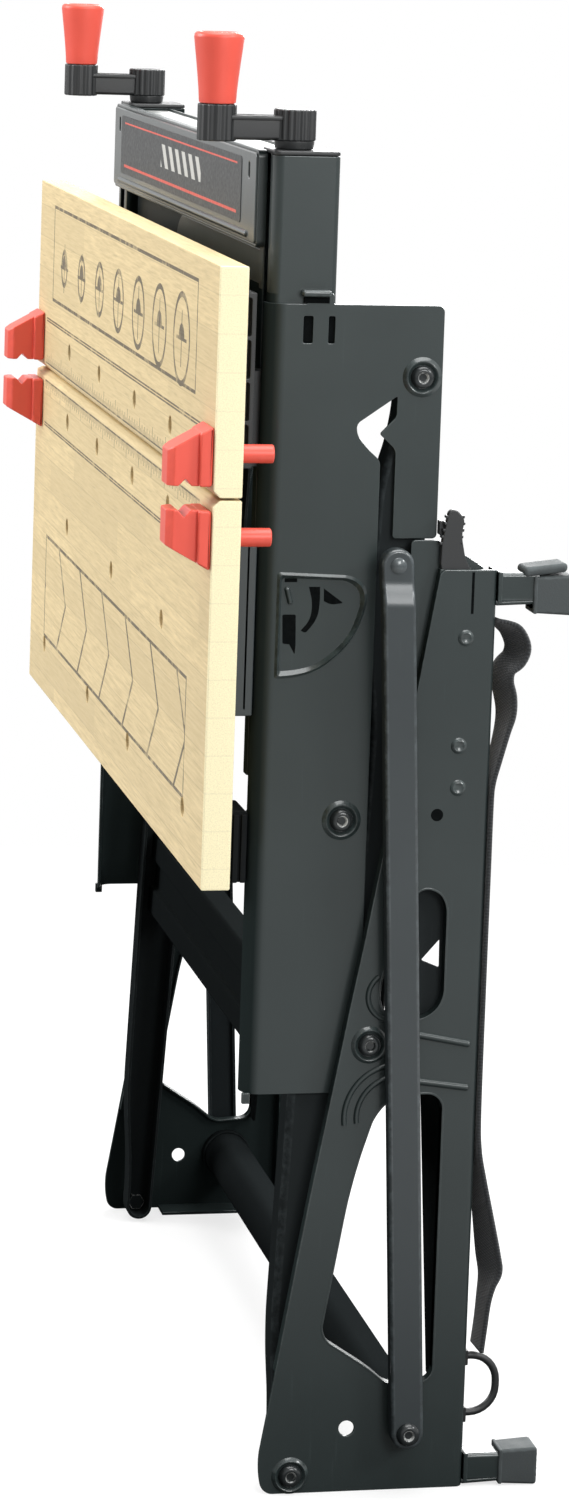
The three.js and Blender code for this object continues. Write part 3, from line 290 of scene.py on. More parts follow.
def soften(bm, width, segments=2, angle=35, pick=None):
    """Rounds the sharp edges, or those of them that pick accepts, and marks the new faces."""
    sharp = [
        edge
        for edge in bm.edges
        if len(edge.link_faces) == 2
        and edge.calc_face_angle(0) > math.radians(angle)
        and (pick is None or pick(edge))
    ]
    made = bevel(bm, sharp, width, "OFFSET", segments, "EDGES")
    mark = bm.faces.layers.float["edge"]
    for face in made["faces"]:
        face[mark] = 1.0
    return bm


def mark_highlight(bm, keep=None):
    """Marks faces to take the lighter tone of a worn edge as a painted highlight: all of them, or
    those whose middle keep accepts.
    """
    mark = bm.faces.layers.float["edge"]
    for face in bm.faces:
        if keep is None or keep(face.calc_center_median()):
            face[mark] = 1.0
    return bm


def lies(item, axis, place, slack=0.02):
    """Whether an edge or a face lies in a plane across the axis."""
    along = AXES[axis][2]
    return all(abs(vert.co[along] - place) < slack for vert in item.verts)


def block(x, y, z):
    bm = blank()
    middle = Vector(((x[0] + x[1]) / 2, (y[0] + y[1]) / 2, (z[0] + z[1]) / 2))
    scale = Matrix.Diagonal((x[1] - x[0], y[1] - y[0], z[1] - z[0], 1))
    bmesh.ops.create_cube(bm, size=1, matrix=Matrix.Translation(middle) @ scale)
    return bm


def brick(x, y, z, ease, segments=2):
    """A block with rounded edges."""
    return soften(block(x, y, z), ease, segments)


def lathe(axis, profile, u, v, steps=32):
    """A profile of (radius, place) spun about a line along the axis."""
    bm = blank()
    across = AXES[axis][0]
    verts = []
    for radius, place in profile:
        where = point(axis, u, v, place)
        where[across] += radius
        verts.append(bm.verts.new(where))
    edges = [bm.edges.new(ends) for ends in zip(verts, verts[1:])]
    bmesh.ops.spin(
        bm,
        geom=verts + edges,
        cent=point(axis, u, v, 0),
        axis=point(axis, 0, 0, 1),
        angle=2 * math.pi,
        steps=steps,
        use_merge=True,
    )
    return weld(bm)


def rod(axis, radius, u, v, w0, w1, ease=0.0, steps=24, segments=2):
    """A round bar, with its ends eased if an ease is given."""
    bm = lathe(axis, [(0, w0), (radius, w0), (radius, w1), (0, w1)], u, v, steps)
    return soften(bm, ease, segments, 60) if ease else bm


def tube(axis, inner, outer, u, v, w0, w1, ease, steps=32):
    """A round tube with eased ends."""
    profile = [(inner, w0), (outer, w0), (outer, w1), (inner, w1), (inner, w0)]
    return soften(lathe(axis, profile, u, v, steps), ease, 2, 60)


def capsule(start, end, radius):
    """A round bar with domed ends, for a bead pressed into sheet."""
    bm = blank()
    start, end = Vector(start), Vector(end)
    run = end - start
    turn = run.to_track_quat("Z", "Y").to_matrix().to_4x4()
    bmesh.ops.create_cone(
        bm,
        cap_ends=True,
        segments=14,
        radius1=radius,
        radius2=radius,
        depth=run.length,
        matrix=Matrix.Translation((start + end) / 2) @ turn,
    )
    return soften(bm, radius * 0.85, 4, 60)


def arc_bead(x, y, z, radius, start, sweep, bead):
    """A round bead pressed along an arc about (y, z), from start through sweep degrees."""
    bm = blank()
    hub = Vector((x, y, z))
    place = Matrix.Translation(hub + Vector((0, radius, 0)))
    bmesh.ops.create_circle(bm, cap_ends=True, radius=bead, segments=12, matrix=place)
    turn = Matrix.Rotation(math.radians(start), 3, "X")
    bmesh.ops.rotate(bm, cent=hub, matrix=turn, verts=bm.verts[:])
    bmesh.ops.spin(
        bm,
        geom=bm.verts[:] + bm.edges[:] + bm.faces[:],
        cent=hub,
        axis=(1, 0, 0),
        angle=math.radians(sweep),
        steps=max(8, int(abs(sweep) / 5)),
    )
    return weld(bm)


def bolt_seat(x, y, z, rim):
    """The raised rim (radius, lift) of a dished bolt seat on a sheet's outer face, all marked for a
    painted highlight.
    """
    profile = [(radius, x + lift) for radius, lift in rim]
    profile += [(rim[-1][0], x - 0.6), (rim[0][0], x - 0.6), profile[0]]
    return mark_highlight(lathe("X", profile, y, z, 36))


def link(x0, x1, ends, radii, belly=()):
    """A bar with a round end at each of two pivots; one edge swells by (share of run, width)."""
    start, end = Vector(ends[0]), Vector(ends[1])
    run = (end - start).normalized()
    side = Vector((-run.y, run.x))
    first, last = start - run * radii[0], end + run * radii[1]
    corners = [
        (*(first + side * radii[0]), radii[0]),
        (*(last + side * radii[1]), radii[1]),
        (*(last - side * radii[1]), radii[1]),
    ]
    for share, swell in reversed(belly):
        width = radii[0] + (radii[1] - radii[0]) * share + swell
        corners.append((*(start.lerp(end, share) - side * width), 20))
    corners.append((*(first - side * radii[0]), radii[0]))
    return plate("X", x0, x1, corners, segments=10)


def hollow(bm, x, rim, depth):
    """Sinks the flat face in the plane at x, and leaves a rim round it."""
    faces = [face for face in bm.faces if lies(face, "X", x, 0.01)]
    bmesh.ops.inset_region(bm, faces=faces, thickness=rim, use_even_offset=True)
    grow(bm, faces, (depth, 0, 0))
    bmesh.ops.delete(bm, geom=[face for face in faces if face.is_valid], context="FACES")
    return bm


def wall(axis, w0, w1, corners, thick):
    """An upright wall round an outline, between two planes."""
    bm = blank()
    loop(bm, axis, w0, corners, 8)
    made = bmesh.ops.extrude_edge_only(bm, edges=bm.edges[:])["geom"]
    rise = point(axis, 0, 0, w1 - w0)
    bmesh.ops.translate(bm, verts=only(made, bmesh.types.BMVert), vec=rise)
    outward(bm)
    bmesh.ops.solidify(bm, geom=bm.faces[:], thickness=-thick)
    return soften(outward(bm), 0.4, 2, 60)


def folded(bm, place_y, x_out, direction, radius, length):
    """Folds the rim of an upright plate inwards along y = place_y, and runs the flange on."""
    rim = [face for face in bm.faces if lies(face, "Y", place_y, 0.01)]
    if not rim:
        raise RuntimeError("the plate has no rim to fold")
    turn = bmesh.ops.spin(
        bm,
        geom=rim,
        cent=(x_out - radius, place_y, 0),
        axis=(0, 0, 1),
        angle=direction * math.pi / 2,
        steps=6,
    )
    last = only(turn["geom_last"], bmesh.types.BMFace)
    grow(bm, last, (-length, 0, 0))
    inner = [face for face in rim + last if face.is_valid]
    bmesh.ops.delete(bm, geom=inner, context="FACES")
    return weld(bm)


def smooth_line(spots, steps):
    """Points along a smooth curve through the spots."""
    line = []
    for i in range(len(spots) - 1):
        a, b = spots[max(i - 1, 0)], spots[i]
        c, d = spots[i + 1], spots[min(i + 2, len(spots) - 1)]
        second, third = 2 * a - 5 * b + 4 * c - d, 3 * b - a - 3 * c + d
        for k in range(steps):
            t = k / steps
            line.append((2 * b + (c - a) * t + second * t**2 + third * t**3) / 2)
    return line + [spots[-1]]


# Pieces

SLOT_OF = {row["node"]: row["material_slot"] for row in frame["record"]["subparts"]}


def dress(name, bm, material):
    """An object made of bm, in row metres, with even normals and a material."""
    bmesh.ops.transform(bm, matrix=TO_ROW, verts=bm.verts[:])
    mesh = bpy.data.meshes.new(name)
    bm.to_mesh(mesh)
    bm.free()
    mesh.shade_smooth()
    mesh.set_sharp_from_angle(angle=math.radians(40))
    mesh.materials.append(material)
    made = bpy.data.objects.new(name, mesh)
    bpy.context.scene.collection.objects.link(made)
    normals = made.modifiers.new("Even normals", "WEIGHTED_NORMAL")
    normals.weight = 80
    normals.keep_sharp = True
    return made


def piece(node, bm, material=None):
    """A finished piece that stands for a CAD node, on that node's body and in its slot."""
    made = dress(node + "_form", bm, material or finish(SLOT_OF[node]))
    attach(made, frame["nodes"][node]["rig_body"])
    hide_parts(node)
    return made


def extra(name, bm, node, slot, material=None):
    """A finished piece with no node of its own, carried by another node's body."""
    made = dress(name, bm, material or finish(slot))
    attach(made, frame["nodes"][node]["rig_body"])


def mirrored(bm):
    other = bm.copy()
    bmesh.ops.scale(other, vec=(-1, 1, 1), verts=other.verts[:])
    return outward(other)


def pair(node, bm, material=None):
    """A piece for the right-hand side and its mirror image for the left."""
    other = mirrored(bm)
    piece(node + "_right", bm, material)
    piece(node + "_left", other, material)


def extra_pair(name, bm, node, slot, material):
    other = mirrored(bm)
    extra(name + "_right", bm, node + "_right", slot, material)
    extra(name + "_left", other, node + "_left", slot, material)


# Finishes


class Finish:
    """A material whose nodes are written as short calls."""

    def __init__(self, name, shader):
        self.material = bpy.data.materials.new(name)
        self.material.use_nodes = True
        self.nodes = self.material.node_tree.nodes
        self.links = self.material.node_tree.links
        self.shader = self.nodes["Principled BSDF"]
        for socket, value in shader.items():
            self.shader.inputs[socket].default_value = value

    def feed(self, socket, value):
        if isinstance(value, bpy.types.NodeSocket):
            self.links.new(value, socket)
        elif hasattr(socket.default_value, "__len__") and len(socket.default_value) == 4:
            socket.default_value = (*value[:3], 1)
        else:
            socket.default_value = value

    def node(self, kind, inputs=None, **settings):
        made = self.nodes.new("ShaderNode" + kind)
        for name, value in settings.items():
            setattr(made, name, value)
        for key, value in (inputs or {}).items():
            self.feed(made.inputs[key], value)
        return made

    def place(self, scale=(1, 1, 1)):
        start = self.node("TexCoord").outputs["Object"]
        return self.node("Mapping", {"Vector": start, "Scale": scale}).outputs[0]

    def parts(self, vector):
        return self.node("SeparateXYZ", {0: vector}).outputs

    def facing(self):
        return self.parts(self.node("TexCoord").outputs["Normal"])

    def math(self, operation, *values):
        return self.node("Math", dict(enumerate(values)), operation=operation).outputs[0]

    def times(self, first, second):
        return self.math("MULTIPLY", first, second)

    def plus(self, value, factor, base):
        return self.math("MULTIPLY_ADD", value, factor, base)

    def most(self, first, *others):
        for other in others:
            first = self.math("MAXIMUM", first, other)
        return first

    def less(self, value, limit):
        return self.math("LESS_THAN", value, limit)

    def more(self, value, limit):
        return self.math("GREATER_THAN", value, limit)

    def within(self, value, low, high):
        """One where the value lies between low and high."""
        return self.times(self.more(value, low), self.less(value, high))

    def size(self, value):
        return self.math("ABSOLUTE", value)

    def off(self, value, middle):
        """How far the value lies from the middle."""
        return self.size(self.math("SUBTRACT", value, middle))

    def beat(self, value, pitch):
        """The share of a pitch that the value has run."""
        return self.math("FRACT", self.math("DIVIDE", value, pitch))

    def chance(self, value):
        white = self.node("TexWhiteNoise", {"W": value}, noise_dimensions="1D")
        return white.outputs["Value"]

    def noise(self, place, scale, detail=3.0, roughness=0.5):
        inputs = {"Vector": place, "Scale": scale, "Detail": detail, "Roughness": roughness}
        return self.node("TexNoise", inputs).outputs[0]

    def span(self, value, low, high, start=0.0, end=1.0):
        inputs = {"Value": value, 1: low, 2: high, 3: start, 4: end}
        return self.node("MapRange", inputs, clamp=True).outputs[0]

    def mix(self, share, first, second):
        return self.node("Mix", {0: share, 6: first, 7: second}, data_type="RGBA").outputs[2]

    def edge(self):
        return self.node("Attribute", attribute_name="edge").outputs["Fac"]

    def use(self, tone, roughness, height, strength, distance):
        self.feed(self.shader.inputs["Base Color"], tone)
        self.feed(self.shader.inputs["Roughness"], roughness)
        bump = {"Strength": strength, "Distance": distance, "Height": height}
        self.links.new(self.node("Bump", bump).outputs[0], self.shader.inputs["Normal"])
        return self.material


def shade(tone, level):
    return tuple(min(1.0, part * level) for part in tone)


def powder_coat(name, paint, roughness, gloss=0.28, bare_and_glint=None):
    """Satin powder coat: fine pebbling, cloudy tone, scuffs, and rubbed edges, whose lighter tone
    also serves as a painted highlight on marked faces.

    Faces turned inwards, or forwards below the apron, get painted shade: a darker tone and no
    sheen.
    """
    sheen = {"Metallic": 0.35 * gloss, "Coat Weight": gloss, "Specular IOR Level": 1.2 * gloss}
    coat = Finish(name, {"Coat Roughness": 0.14, **sheen})
    place = coat.place()
    cloud = coat.noise(place, 9.0, 4.0, 0.6)
    pebble = coat.noise(place, 1100.0, 2.0)
    scuff = coat.span(coat.noise(coat.place((1, 1, 0.05)), 300.0, 2.0), 0.68, 0.76)
    edge = coat.edge()
    # Lighter rubbed tone on marked faces: real wear on bevels, and a painted highlight on seat
    # rims, dished walls, pips, rivets and bolt sockets.
    worn_and_highlit = coat.times(edge, coat.span(coat.noise(place, 120.0, 4.0, 0.7), 0.42, 0.66))
    x, _, z = coat.parts(place)
    facing = coat.facing()
    # Painted shade: faces turned towards the bench's middle, and faces turned forwards below the
    # apron, are darkened and lose their sheen.
    inward_shade = coat.span(coat.times(coat.math("SIGN", x), facing[0]), -0.5, -0.2, 0.5, 0.0)
    forward_shade = coat.times(coat.span(facing[1], -0.6, -0.18, 0.4, 0.0), coat.less(z, 0.77))
    painted_shade = coat.most(inward_shade, forward_shade)
    for socket, level in sheen.items():
        shine = coat.span(painted_shade, 0.0, 0.38, level, 0.0)
        if socket == "Coat Weight":
            shine = coat.plus(edge, 1.6 * gloss, shine)
        coat.feed(coat.shader.inputs[socket], shine)
    tone = coat.mix(cloud, shade(paint, 0.84), shade(paint, 1.14))
    tone = coat.mix(painted_shade, tone, shade(paint, 0.2))
    tone = coat.mix(coat.times(scuff, 0.16), tone, shade(paint, 1.9))
    if bare_and_glint:
        tone = coat.mix(worn_and_highlit, tone, bare_and_glint)
    else:
        tone = coat.mix(coat.times(worn_and_highlit, 0.42), tone, shade(paint, 2.6))
    rough = coat.plus(scuff, 0.08, coat.plus(cloud, 0.14, roughness - 0.07))
    return coat.use(tone, rough, pebble, 0.12, 0.0003)


def painted_shadow(name, paint):
    """Painted shadow: near-black matt steel with a trace of dust, for sheets and plugs set where
    only shade falls.
    """
    gap = Finish(name, {"Specular IOR Level": 0.0})
    dust = gap.noise(gap.place(), 260.0, 4.0, 0.6)
    tone = gap.mix(dust, shade(paint, 0.1), shade(paint, 0.4))
    return gap.use(tone, gap.span(dust, 0.3, 0.7, 0.85, 1.0), dust, 0.1, 0.0002)


def plated(name, plating):
    """Zinc plating with a drawn grain and dull patches."""
    zinc = Finish(name, {"Metallic": 0.6})
    drawn = zinc.noise(zinc.place((1, 1, 0.1)), 700.0)
    patch = zinc.noise(zinc.place(), 60.0, 4.0, 0.6)
    tone = zinc.mix(patch, shade(plating, 0.75), shade(plating, 1.1))
    return zinc.use(tone, zinc.span(patch, 0.3, 0.7, 0.26, 0.46), drawn, 0.15, 0.0002)


def moulded(name, plastic, roughness, gloss=0.5):
    """Moulded plastic: fine spark texture, slight flow marks and edges polished by use."""
    mould = Finish(name, {"Specular IOR Level": gloss})
    place = mould.place()
    flow = mould.noise(mould.place((1, 1, 0.35)), 45.0, 4.0, 0.6)
    spark = mould.noise(place, 1700.0, 2.0)
    polished = mould.times(mould.edge(), mould.span(mould.noise(place, 160.0), 0.35, 0.7))
    tone = mould.mix(flow, shade(plastic, 0.9), shade(plastic, 1.1))
    tone = mould.mix(mould.times(polished, 0.3), tone, shade(plastic, 1.6))
    rough = mould.plus(polished, -0.1, mould.plus(flow, 0.16, roughness - 0.08))
    return mould.use(tone, rough, spark, 0.1, 0.0003)


def rubbery(name, rubber):
    """Matt rubber with a dusty bloom and a grainy skin."""
    skin = Finish(name, {"Specular IOR Level": 0.35})
    place = skin.place()
    bloom = skin.noise(place, 70.0, 5.0, 0.65)
    grain = skin.noise(place, 900.0)
    dust = skin.times(skin.edge(), skin.span(skin.noise(place, 140.0), 0.4, 0.7))
    tone = skin.mix(bloom, shade(rubber, 0.8), shade(rubber, 1.2))
    tone = skin.mix(skin.times(dust, 0.35), tone, shade(rubber, 2.4))
    return skin.use(tone, skin.span(bloom, 0.3, 0.7, 0.62, 0.82), grain, 0.25, 0.0004)


# Prints and weaves are laid out in metres, like the coordinates that their shaders read
STRIP, STAVE = 0.0235, 0.31
PRINT_HALF = 0.3
FAR_LEFT = 5.0


def board(name, face, cut, ink):
    """Laminated board: strips with fibre, pale cut ends, and plain scales on the working face."""
    wood = Finish(name, {"Specular IOR Level": 0.3})
    x, _, z = wood.parts(wood.place())
    strip = wood.math("FLOOR", wood.math("DIVIDE", z, STRIP))
    stave = wood.plus(wood.chance(strip), 7.0, wood.math("DIVIDE", x, STAVE))
    lot = wood.chance(wood.plus(strip, 13.7, wood.math("FLOOR", stave)))
    fibre = wood.noise(wood.place((5, 90, 90)), 6.0, 5.0, 0.6)
    pore = wood.span(wood.noise(wood.place((14, 420, 420)), 2.4), 0.6, 0.72)
    tone = wood.mix(lot, shade(face, 0.88), shade(face, 1.08))
    tone = wood.mix(wood.span(fibre, 0.3, 0.72), tone, shade(face, 0.8))
    tone = wood.mix(wood.times(pore, 0.35), tone, shade(face, 0.5))
    seam = wood.more(wood.off(wood.beat(z, STRIP), 0.5), 0.482)
    tone = wood.mix(wood.times(seam, 0.28), tone, shade(face, 0.45))

    end = wood.more(wood.size(x), JAW_HALF / 1000 - 0.0015)
    speck = wood.noise(wood.place((1, 420, 420)), 3.0)
    butt = wood.mix(wood.span(speck, 0.35, 0.75), cut, shade(cut, 0.82))
    butt = wood.mix(wood.times(seam, 0.2), butt, shade(cut, 0.6))
    tone = wood.mix(end, tone, butt)

    front = wood.less(wood.facing()[1], -0.6)
    ruled = wood.most(scale_marks(wood, x, wood.off(z, SPLIT_Z / 1000)), gauge_marks(wood, x, z))
    worn = wood.span(wood.noise(wood.place(), 70.0, 4.0, 0.65), 0.3, 0.5, 0.25, 0.85)
    tone = wood.mix(wood.times(wood.times(ruled, front), worn), tone, ink)
    height = wood.math("SUBTRACT", fibre, wood.times(pore, 0.6))
    return wood.use(tone, wood.span(fibre, 0.3, 0.7, 0.5, 0.64), height, 0.2, 0.0004)


def scale_marks(wood, x, away):
    """A plain centimetre scale on each side of the split, with lines that close it off."""
    foot, thin, line = 0.0065, 0.0007, 0.0012
    marks = []
    for step, tip in ((0.005, 0.0105), (0.01, 0.013), (0.05, 0.0165)):
        beat = wood.beat(wood.math("ADD", x, FAR_LEFT + step / 2), step)
        tick = wood.less(wood.times(wood.off(beat, 0.5), step), thin)
        marks.append(wood.times(tick, wood.within(away, foot, tip)))
    marks += [wood.within(away, place, place + line) for place in (0.0062, 0.038, 0.040)]
    return wood.times(wood.most(*marks), wood.less(wood.size(x), 0.325))


def gauge_marks(wood, x, z):
    """A row of rings that grow along the front jaw, and framed rules across both boards."""
    pitch, count, start, middle = 0.082, 7, 0.287, 0.736
    along = wood.math("DIVIDE", wood.math("ADD", x, start), pitch)
    spot = wood.math("FLOOR", along)
    dx = wood.times(wood.math("SUBTRACT", wood.math("FRACT", along), 0.5), pitch)
    dz = wood.math("SUBTRACT", z, middle)
    far = wood.math("SQRT", wood.math("ADD", wood.times(dx, dx), wood.times(dz, dz)))
    ring = wood.less(wood.off(far, wood.plus(spot, 0.0026, 0.0125)), 0.0019)
    half = wood.times(wood.less(far, 0.0098), wood.more(dz, 0.0))
    cross = wood.math("MINIMUM", wood.size(dx), wood.size(dz))
    cross = wood.times(wood.less(cross, 0.0011), wood.less(far, 0.018))
    marks = [wood.times(wood.most(ring, half, cross), wood.within(spot, -0.5, count - 0.5))]
    reach = wood.size(x)
    for low, high in ((0.707, 0.779), (0.452, 0.53)):
        gap = wood.math("SUBTRACT", (high - low) / 2, wood.off(z, (low + high) / 2))
        rim = wood.math("MINIMUM", gap, wood.math("SUBTRACT", PRINT_HALF, reach))
        marks.append(wood.within(rim, 0.0, 0.0024))
    slope = wood.off(z, 0.491)
    lean = wood.beat(wood.math("ADD", wood.math("ADD", x, FAR_LEFT), slope), 0.1)
    chevron = wood.times(wood.less(lean, 0.05), wood.less(slope, 0.039))
    return wood.most(*marks, wood.times(chevron, wood.less(reach, PRINT_HALF)))


def apron_print():
    """A dark label with plain slanted bars and two thin rules."""
    label = Finish("apron_label", {"Specular IOR Level": 0.4})
    x, _, z = label.parts(label.place())
    ground = colour("black")
    speck = label.noise(label.place(), 420.0)
    tone = label.mix(speck, shade(ground, 0.9), shade(ground, 2.2))
    lean = label.beat(label.math("ADD", label.math("ADD", x, FAR_LEFT), z), 0.026)
    bars = label.times(label.less(lean, 0.5), label.within(x, -0.07, 0.085))
    bars = label.times(bars, label.within(z, 0.824, 0.84))
    tone = label.mix(label.times(bars, 0.85), tone, srgb(206, 206, 202))
    rule = label.most(label.within(z, 0.8135, 0.8155), label.within(z, 0.845, 0.8462))
    rule = label.times(rule, label.within(x, -0.225, 0.212))
    tone = label.mix(label.times(rule, 0.9), tone, shade(colour("red"), 0.9))
    return label.use(tone, label.span(speck, 0.3, 0.7, 0.36, 0.5), speck, 0.1, 0.0002)


def woven(name, thread):
    """Flat webbing: ribs of warp crossed by weft, with a ruled line near each edge."""
    web = Finish(name, {"Specular IOR Level": 0.3, "Sheen Weight": 0.3})
    u, v, _ = web.parts(web.node("TexCoord").outputs["UV"])
    pitch = bpy.context.scene.workbench_sizes.weave
    wave = 2 * math.pi / pitch
    warp = web.math("SINE", web.times(v, wave))
    shift = web.times(web.math("FLOOR", web.math("DIVIDE", v, pitch)), math.pi)
    weft = web.math("SINE", web.math("ADD", web.times(u, wave), shift))
    height = web.plus(web.times(web.size(warp), weft), 0.5, 0.5)
    fuzz = web.noise(web.place(), 800.0)
    tone = web.mix(height, shade(thread, 0.45), shade(thread, 1.5))
    tone = web.mix(web.times(fuzz, 0.4), tone, shade(thread, 1.9))
    border = web.less(web.off(web.size(v), 0.009), 0.0008)
    tone = web.mix(web.times(border, 0.5), tone, shade(thread, 0.4))
    return web.use(tone, 0.82, height, 0.6, 0.0006)


FINISHERS = {
    "slate_steel": lambda: powder_coat("slate_powder_coat", colour("slate"), 0.36),
    "strut_steel": lambda: powder_coat("strut_powder_coat", colour("strut"), 0.32),
    "dark_steel": lambda: powder_coat("dark_powder_coat", colour("dark"), 0.45, 0.02),
    # A shaded copy of the dark steel coat, darker and without sheen, as painted shade on the bars
    # under the bench.
    "cross_steel_shaded": lambda: powder_coat("cross_powder_coat", shade(colour("dark"), 0.6), 0.5, 0.0),
    # Black bolt coat whose marked faces show bright zinc: worn nut edges, and a painted glint round
    # the socket rims.
    "bolt_steel": lambda: powder_coat(
        "bolt_black", colour("dark"), 0.2, bare_and_glint=shade(colour("zinc"), 1.6)
    ),
    # Near-black painted shadow for slots, pockets and grooves.
    "shadow_steel": lambda: painted_shadow("slot_dark", colour("dark")),
    "zinc_steel": lambda: plated("zinc_plating", colour("zinc")),
    "jaw_wood": lambda: board("jaw_board", colour("wood"), colour("wood_end"), colour("ink")),
    "red_plastic": lambda: moulded("red_moulding", colour("red"), 0.4),
    "grey_plastic": lambda: moulded("grey_moulding", colour("grey"), 0.5),
    "black_plastic": lambda: moulded("black_moulding", colour("black"), 0.42),
    "bracket_plastic": lambda: moulded("bracket_moulding", colour("black"), 0.6, 0.0),
    "foot_rubber": lambda: rubbery("foot_rubber", colour("rubber")),
    "webbing": lambda: woven("strap_webbing", colour("webbing")),
}
MADE = {}


def finish(name):
    """The material of a slot, or one of the special finishes, made when it is first needed."""
    if name not in MADE:
        MADE[name] = FINISHERS[name]()
    return MADE[name]


# Operators


class BuildJaws(bpy.types.Operator):
    """Builds the two jaw boards with their peg holes and the groove along the split."""

    bl_idname = "workbench.jaws"
    bl_label = "Jaw boards"

    def execute(self, context):
        row = (75, 213, PEG_X)
        rear = ((REAR_ROW_Z, row), (549.5, (0, 202)), (446.5, (87, 297)))
        boards = (
            ("front_jaw", 652.0, 793.0, 652.0, ((FRONT_ROW_Z, row),)),
            ("rear_jaw", 409.5, 650.5, 650.5, rear),
        )
        for node, low, high, split, rows in boards:
            rounds = []
            for z, places in rows:
                both = sorted({sign * place for place in places for sign in (-1, 1)})
                rounds += [(x, z, 6.1) for x in both]
            corners = rect(-JAW_HALF, low, JAW_HALF, high)
            bm = plate("Y", JAW_FACE_Y, JAW_BACK_Y, corners, rounds=rounds, steps=28)
            soften(bm, 4.1, 1, pick=lambda e: lies(e, "Y", JAW_FACE_Y) and lies(e, "Z", split))
            piece(node, soften(bm, size("wood_edge"), 2, 30))
        return {"FINISHED"}


class BuildPegs(bpy.types.Operator):
    """Builds the swivel pegs: a stepped head, sloped and notched, on a round stem."""

    bl_idname = "workbench.pegs"
    bl_label = "Swivel pegs"

    def execute(self, context):
        for node, row, way in (("front_peg", FRONT_ROW_Z, 1), ("rear_peg", REAR_ROW_Z, -1)):
            pair(node, self.peg(row, way))
        return {"FINISHED"}

    def peg(self, row, way):
        """A peg whose sloped end points up (way 1) or down (way -1)."""
        seat, step, tip = -127.8, -135.8, -154.8
        near, far = row - way * 18.5, row + way * 18.5
        slope = 15.0 / (seat - tip)
        edge = size("plastic_edge")

        def outer(y):
            return far - way * slope * (seat - y)

        foot = [(seat, near, 2), (seat, outer(seat), 2), (step, outer(step)), (step, near)]
        foot = soften(plate("X", PEG_X - 17, PEG_X + 17, foot), edge * 1.3, 3)
        root, middle = step + 1, (step + tip) / 2 + 1.5
        head = [(root, near), (root, outer(root)), (tip, outer(tip)), (tip, near)]
        head += [(middle - 4, near), (middle, near + way * 4.5, 0.8), (middle + 4, near)]
        head = plate("X", PEG_X - 13, PEG_X + 13, head)

        def upright(e):
            return lies(e, "Y", tip) and abs(e.verts[0].co.x - e.verts[1].co.x) < 1

        soften(head, 4.0, 1, pick=upright)
        soften(head, edge * 0.8, 2, 30)
        stem = rod("Y", 5.8, PEG_X, row, step, JAW_BACK_Y + 22.0, 1.0, 28, 3)
        return add(blank(), foot, head, stem)


class BuildBeams(bpy.types.Operator):
    """Builds the lipped vice beams, the bearings in their ends and the threaded screws."""

    bl_idname = "workbench.beams"
    bl_label = "Vice beams and screws"

    def execute(self, context):
        inner, outer, front, back = BEAM_IN, BEAM_OUT, BEAM_FRONT, BEAM_BACK
        sheet, lips = 2.0, (266, 282)
        section = [
            (lips[0], front, 0.9),
            (lips[0], front + sheet, 0.9),
            (inner + sheet, front + sheet, 2),
            (inner + sheet, back - sheet, 2),
            (outer - sheet, back - sheet, 2),
            (outer - sheet, front + sheet, 11),
            (lips[1], front + sheet, 0.9),
            (lips[1], front, 0.9),
            (outer, front, 13),
            (outer, back, 4),
            (inner, back, 4),
            (inner, front, 4),
        ]
        beam = plate("Z", BEAM_LOW, BEAM_TOP, section, segments=5)
        pair("vice_beam", soften(beam, size("steel_edge"), 2, 60))
        bore, seat = 6.3, BEAM_TOP + 0.3
        cap = rect(inner, front, outer, back, 4)
        cap = plate("Z", seat, seat + 2.7, cap, rounds=[(BEAM_X, SCREW_Y, bore)])
        plug = brick((255.3, 292.7), (-78.7, -41.3), (837.5, 856.0), 1.0)
        collar = tube("Z", bore, 11.0, BEAM_X, SCREW_Y, 857.5, 858.7, 0.4)
        pair("screw_bearing", add(soften(cap, size("plastic_edge") * 0.7, 3), plug, collar))
        piece("vice_screw_right", self.screw(BEAM_X))
        piece("vice_screw_left", self.screw(-BEAM_X))
        return {"FINISHED"}

    def screw(self, x):
        """A screw with a right-hand thread, a plain foot and a plain neck."""
        pitch, root, crest = size("thread_pitch"), 4.7, 6.0
        low, high, neck_top = 610.0, 856.0, 873.8
        bm = blank()
        profile = [(root, 0), (crest, 0.28), (crest, 0.5), (root, 0.78), (root, 1)]
        verts = [bm.verts.new((x + r, SCREW_Y, low + share * pitch)) for r, share in profile]
        edges = [bm.edges.new(ends) for ends in zip(verts, verts[1:])]
        turns = int((high - low) / pitch) - 1
        around = 20
        bmesh.ops.spin(
            bm,
            geom=verts + edges,
            cent=(x, SCREW_Y, 0),
            axis=(0, 0, 1),
            dvec=(0, 0, pitch / around),
            angle=2 * math.pi * turns,
            steps=around * turns,
        )
        bmesh.ops.remove_doubles(bm, verts=bm.verts[:], dist=1e-3)
        open_edges = [edge for edge in bm.edges if edge.is_boundary]
        bmesh.ops.holes_fill(bm, edges=open_edges, sides=0)
        outward(bm)
        if bm.calc_volume(signed=True) < 0:
            bmesh.ops.reverse_faces(bm, faces=bm.faces[:])
        foot = rod("Z", root + 0.1, x, SCREW_Y, low, low + 2.2 * pitch, 0.8)
        neck = rod("Z", root + 0.1, x, SCREW_Y, high - 3 * pitch, neck_top)
        return add(bm, foot, neck)


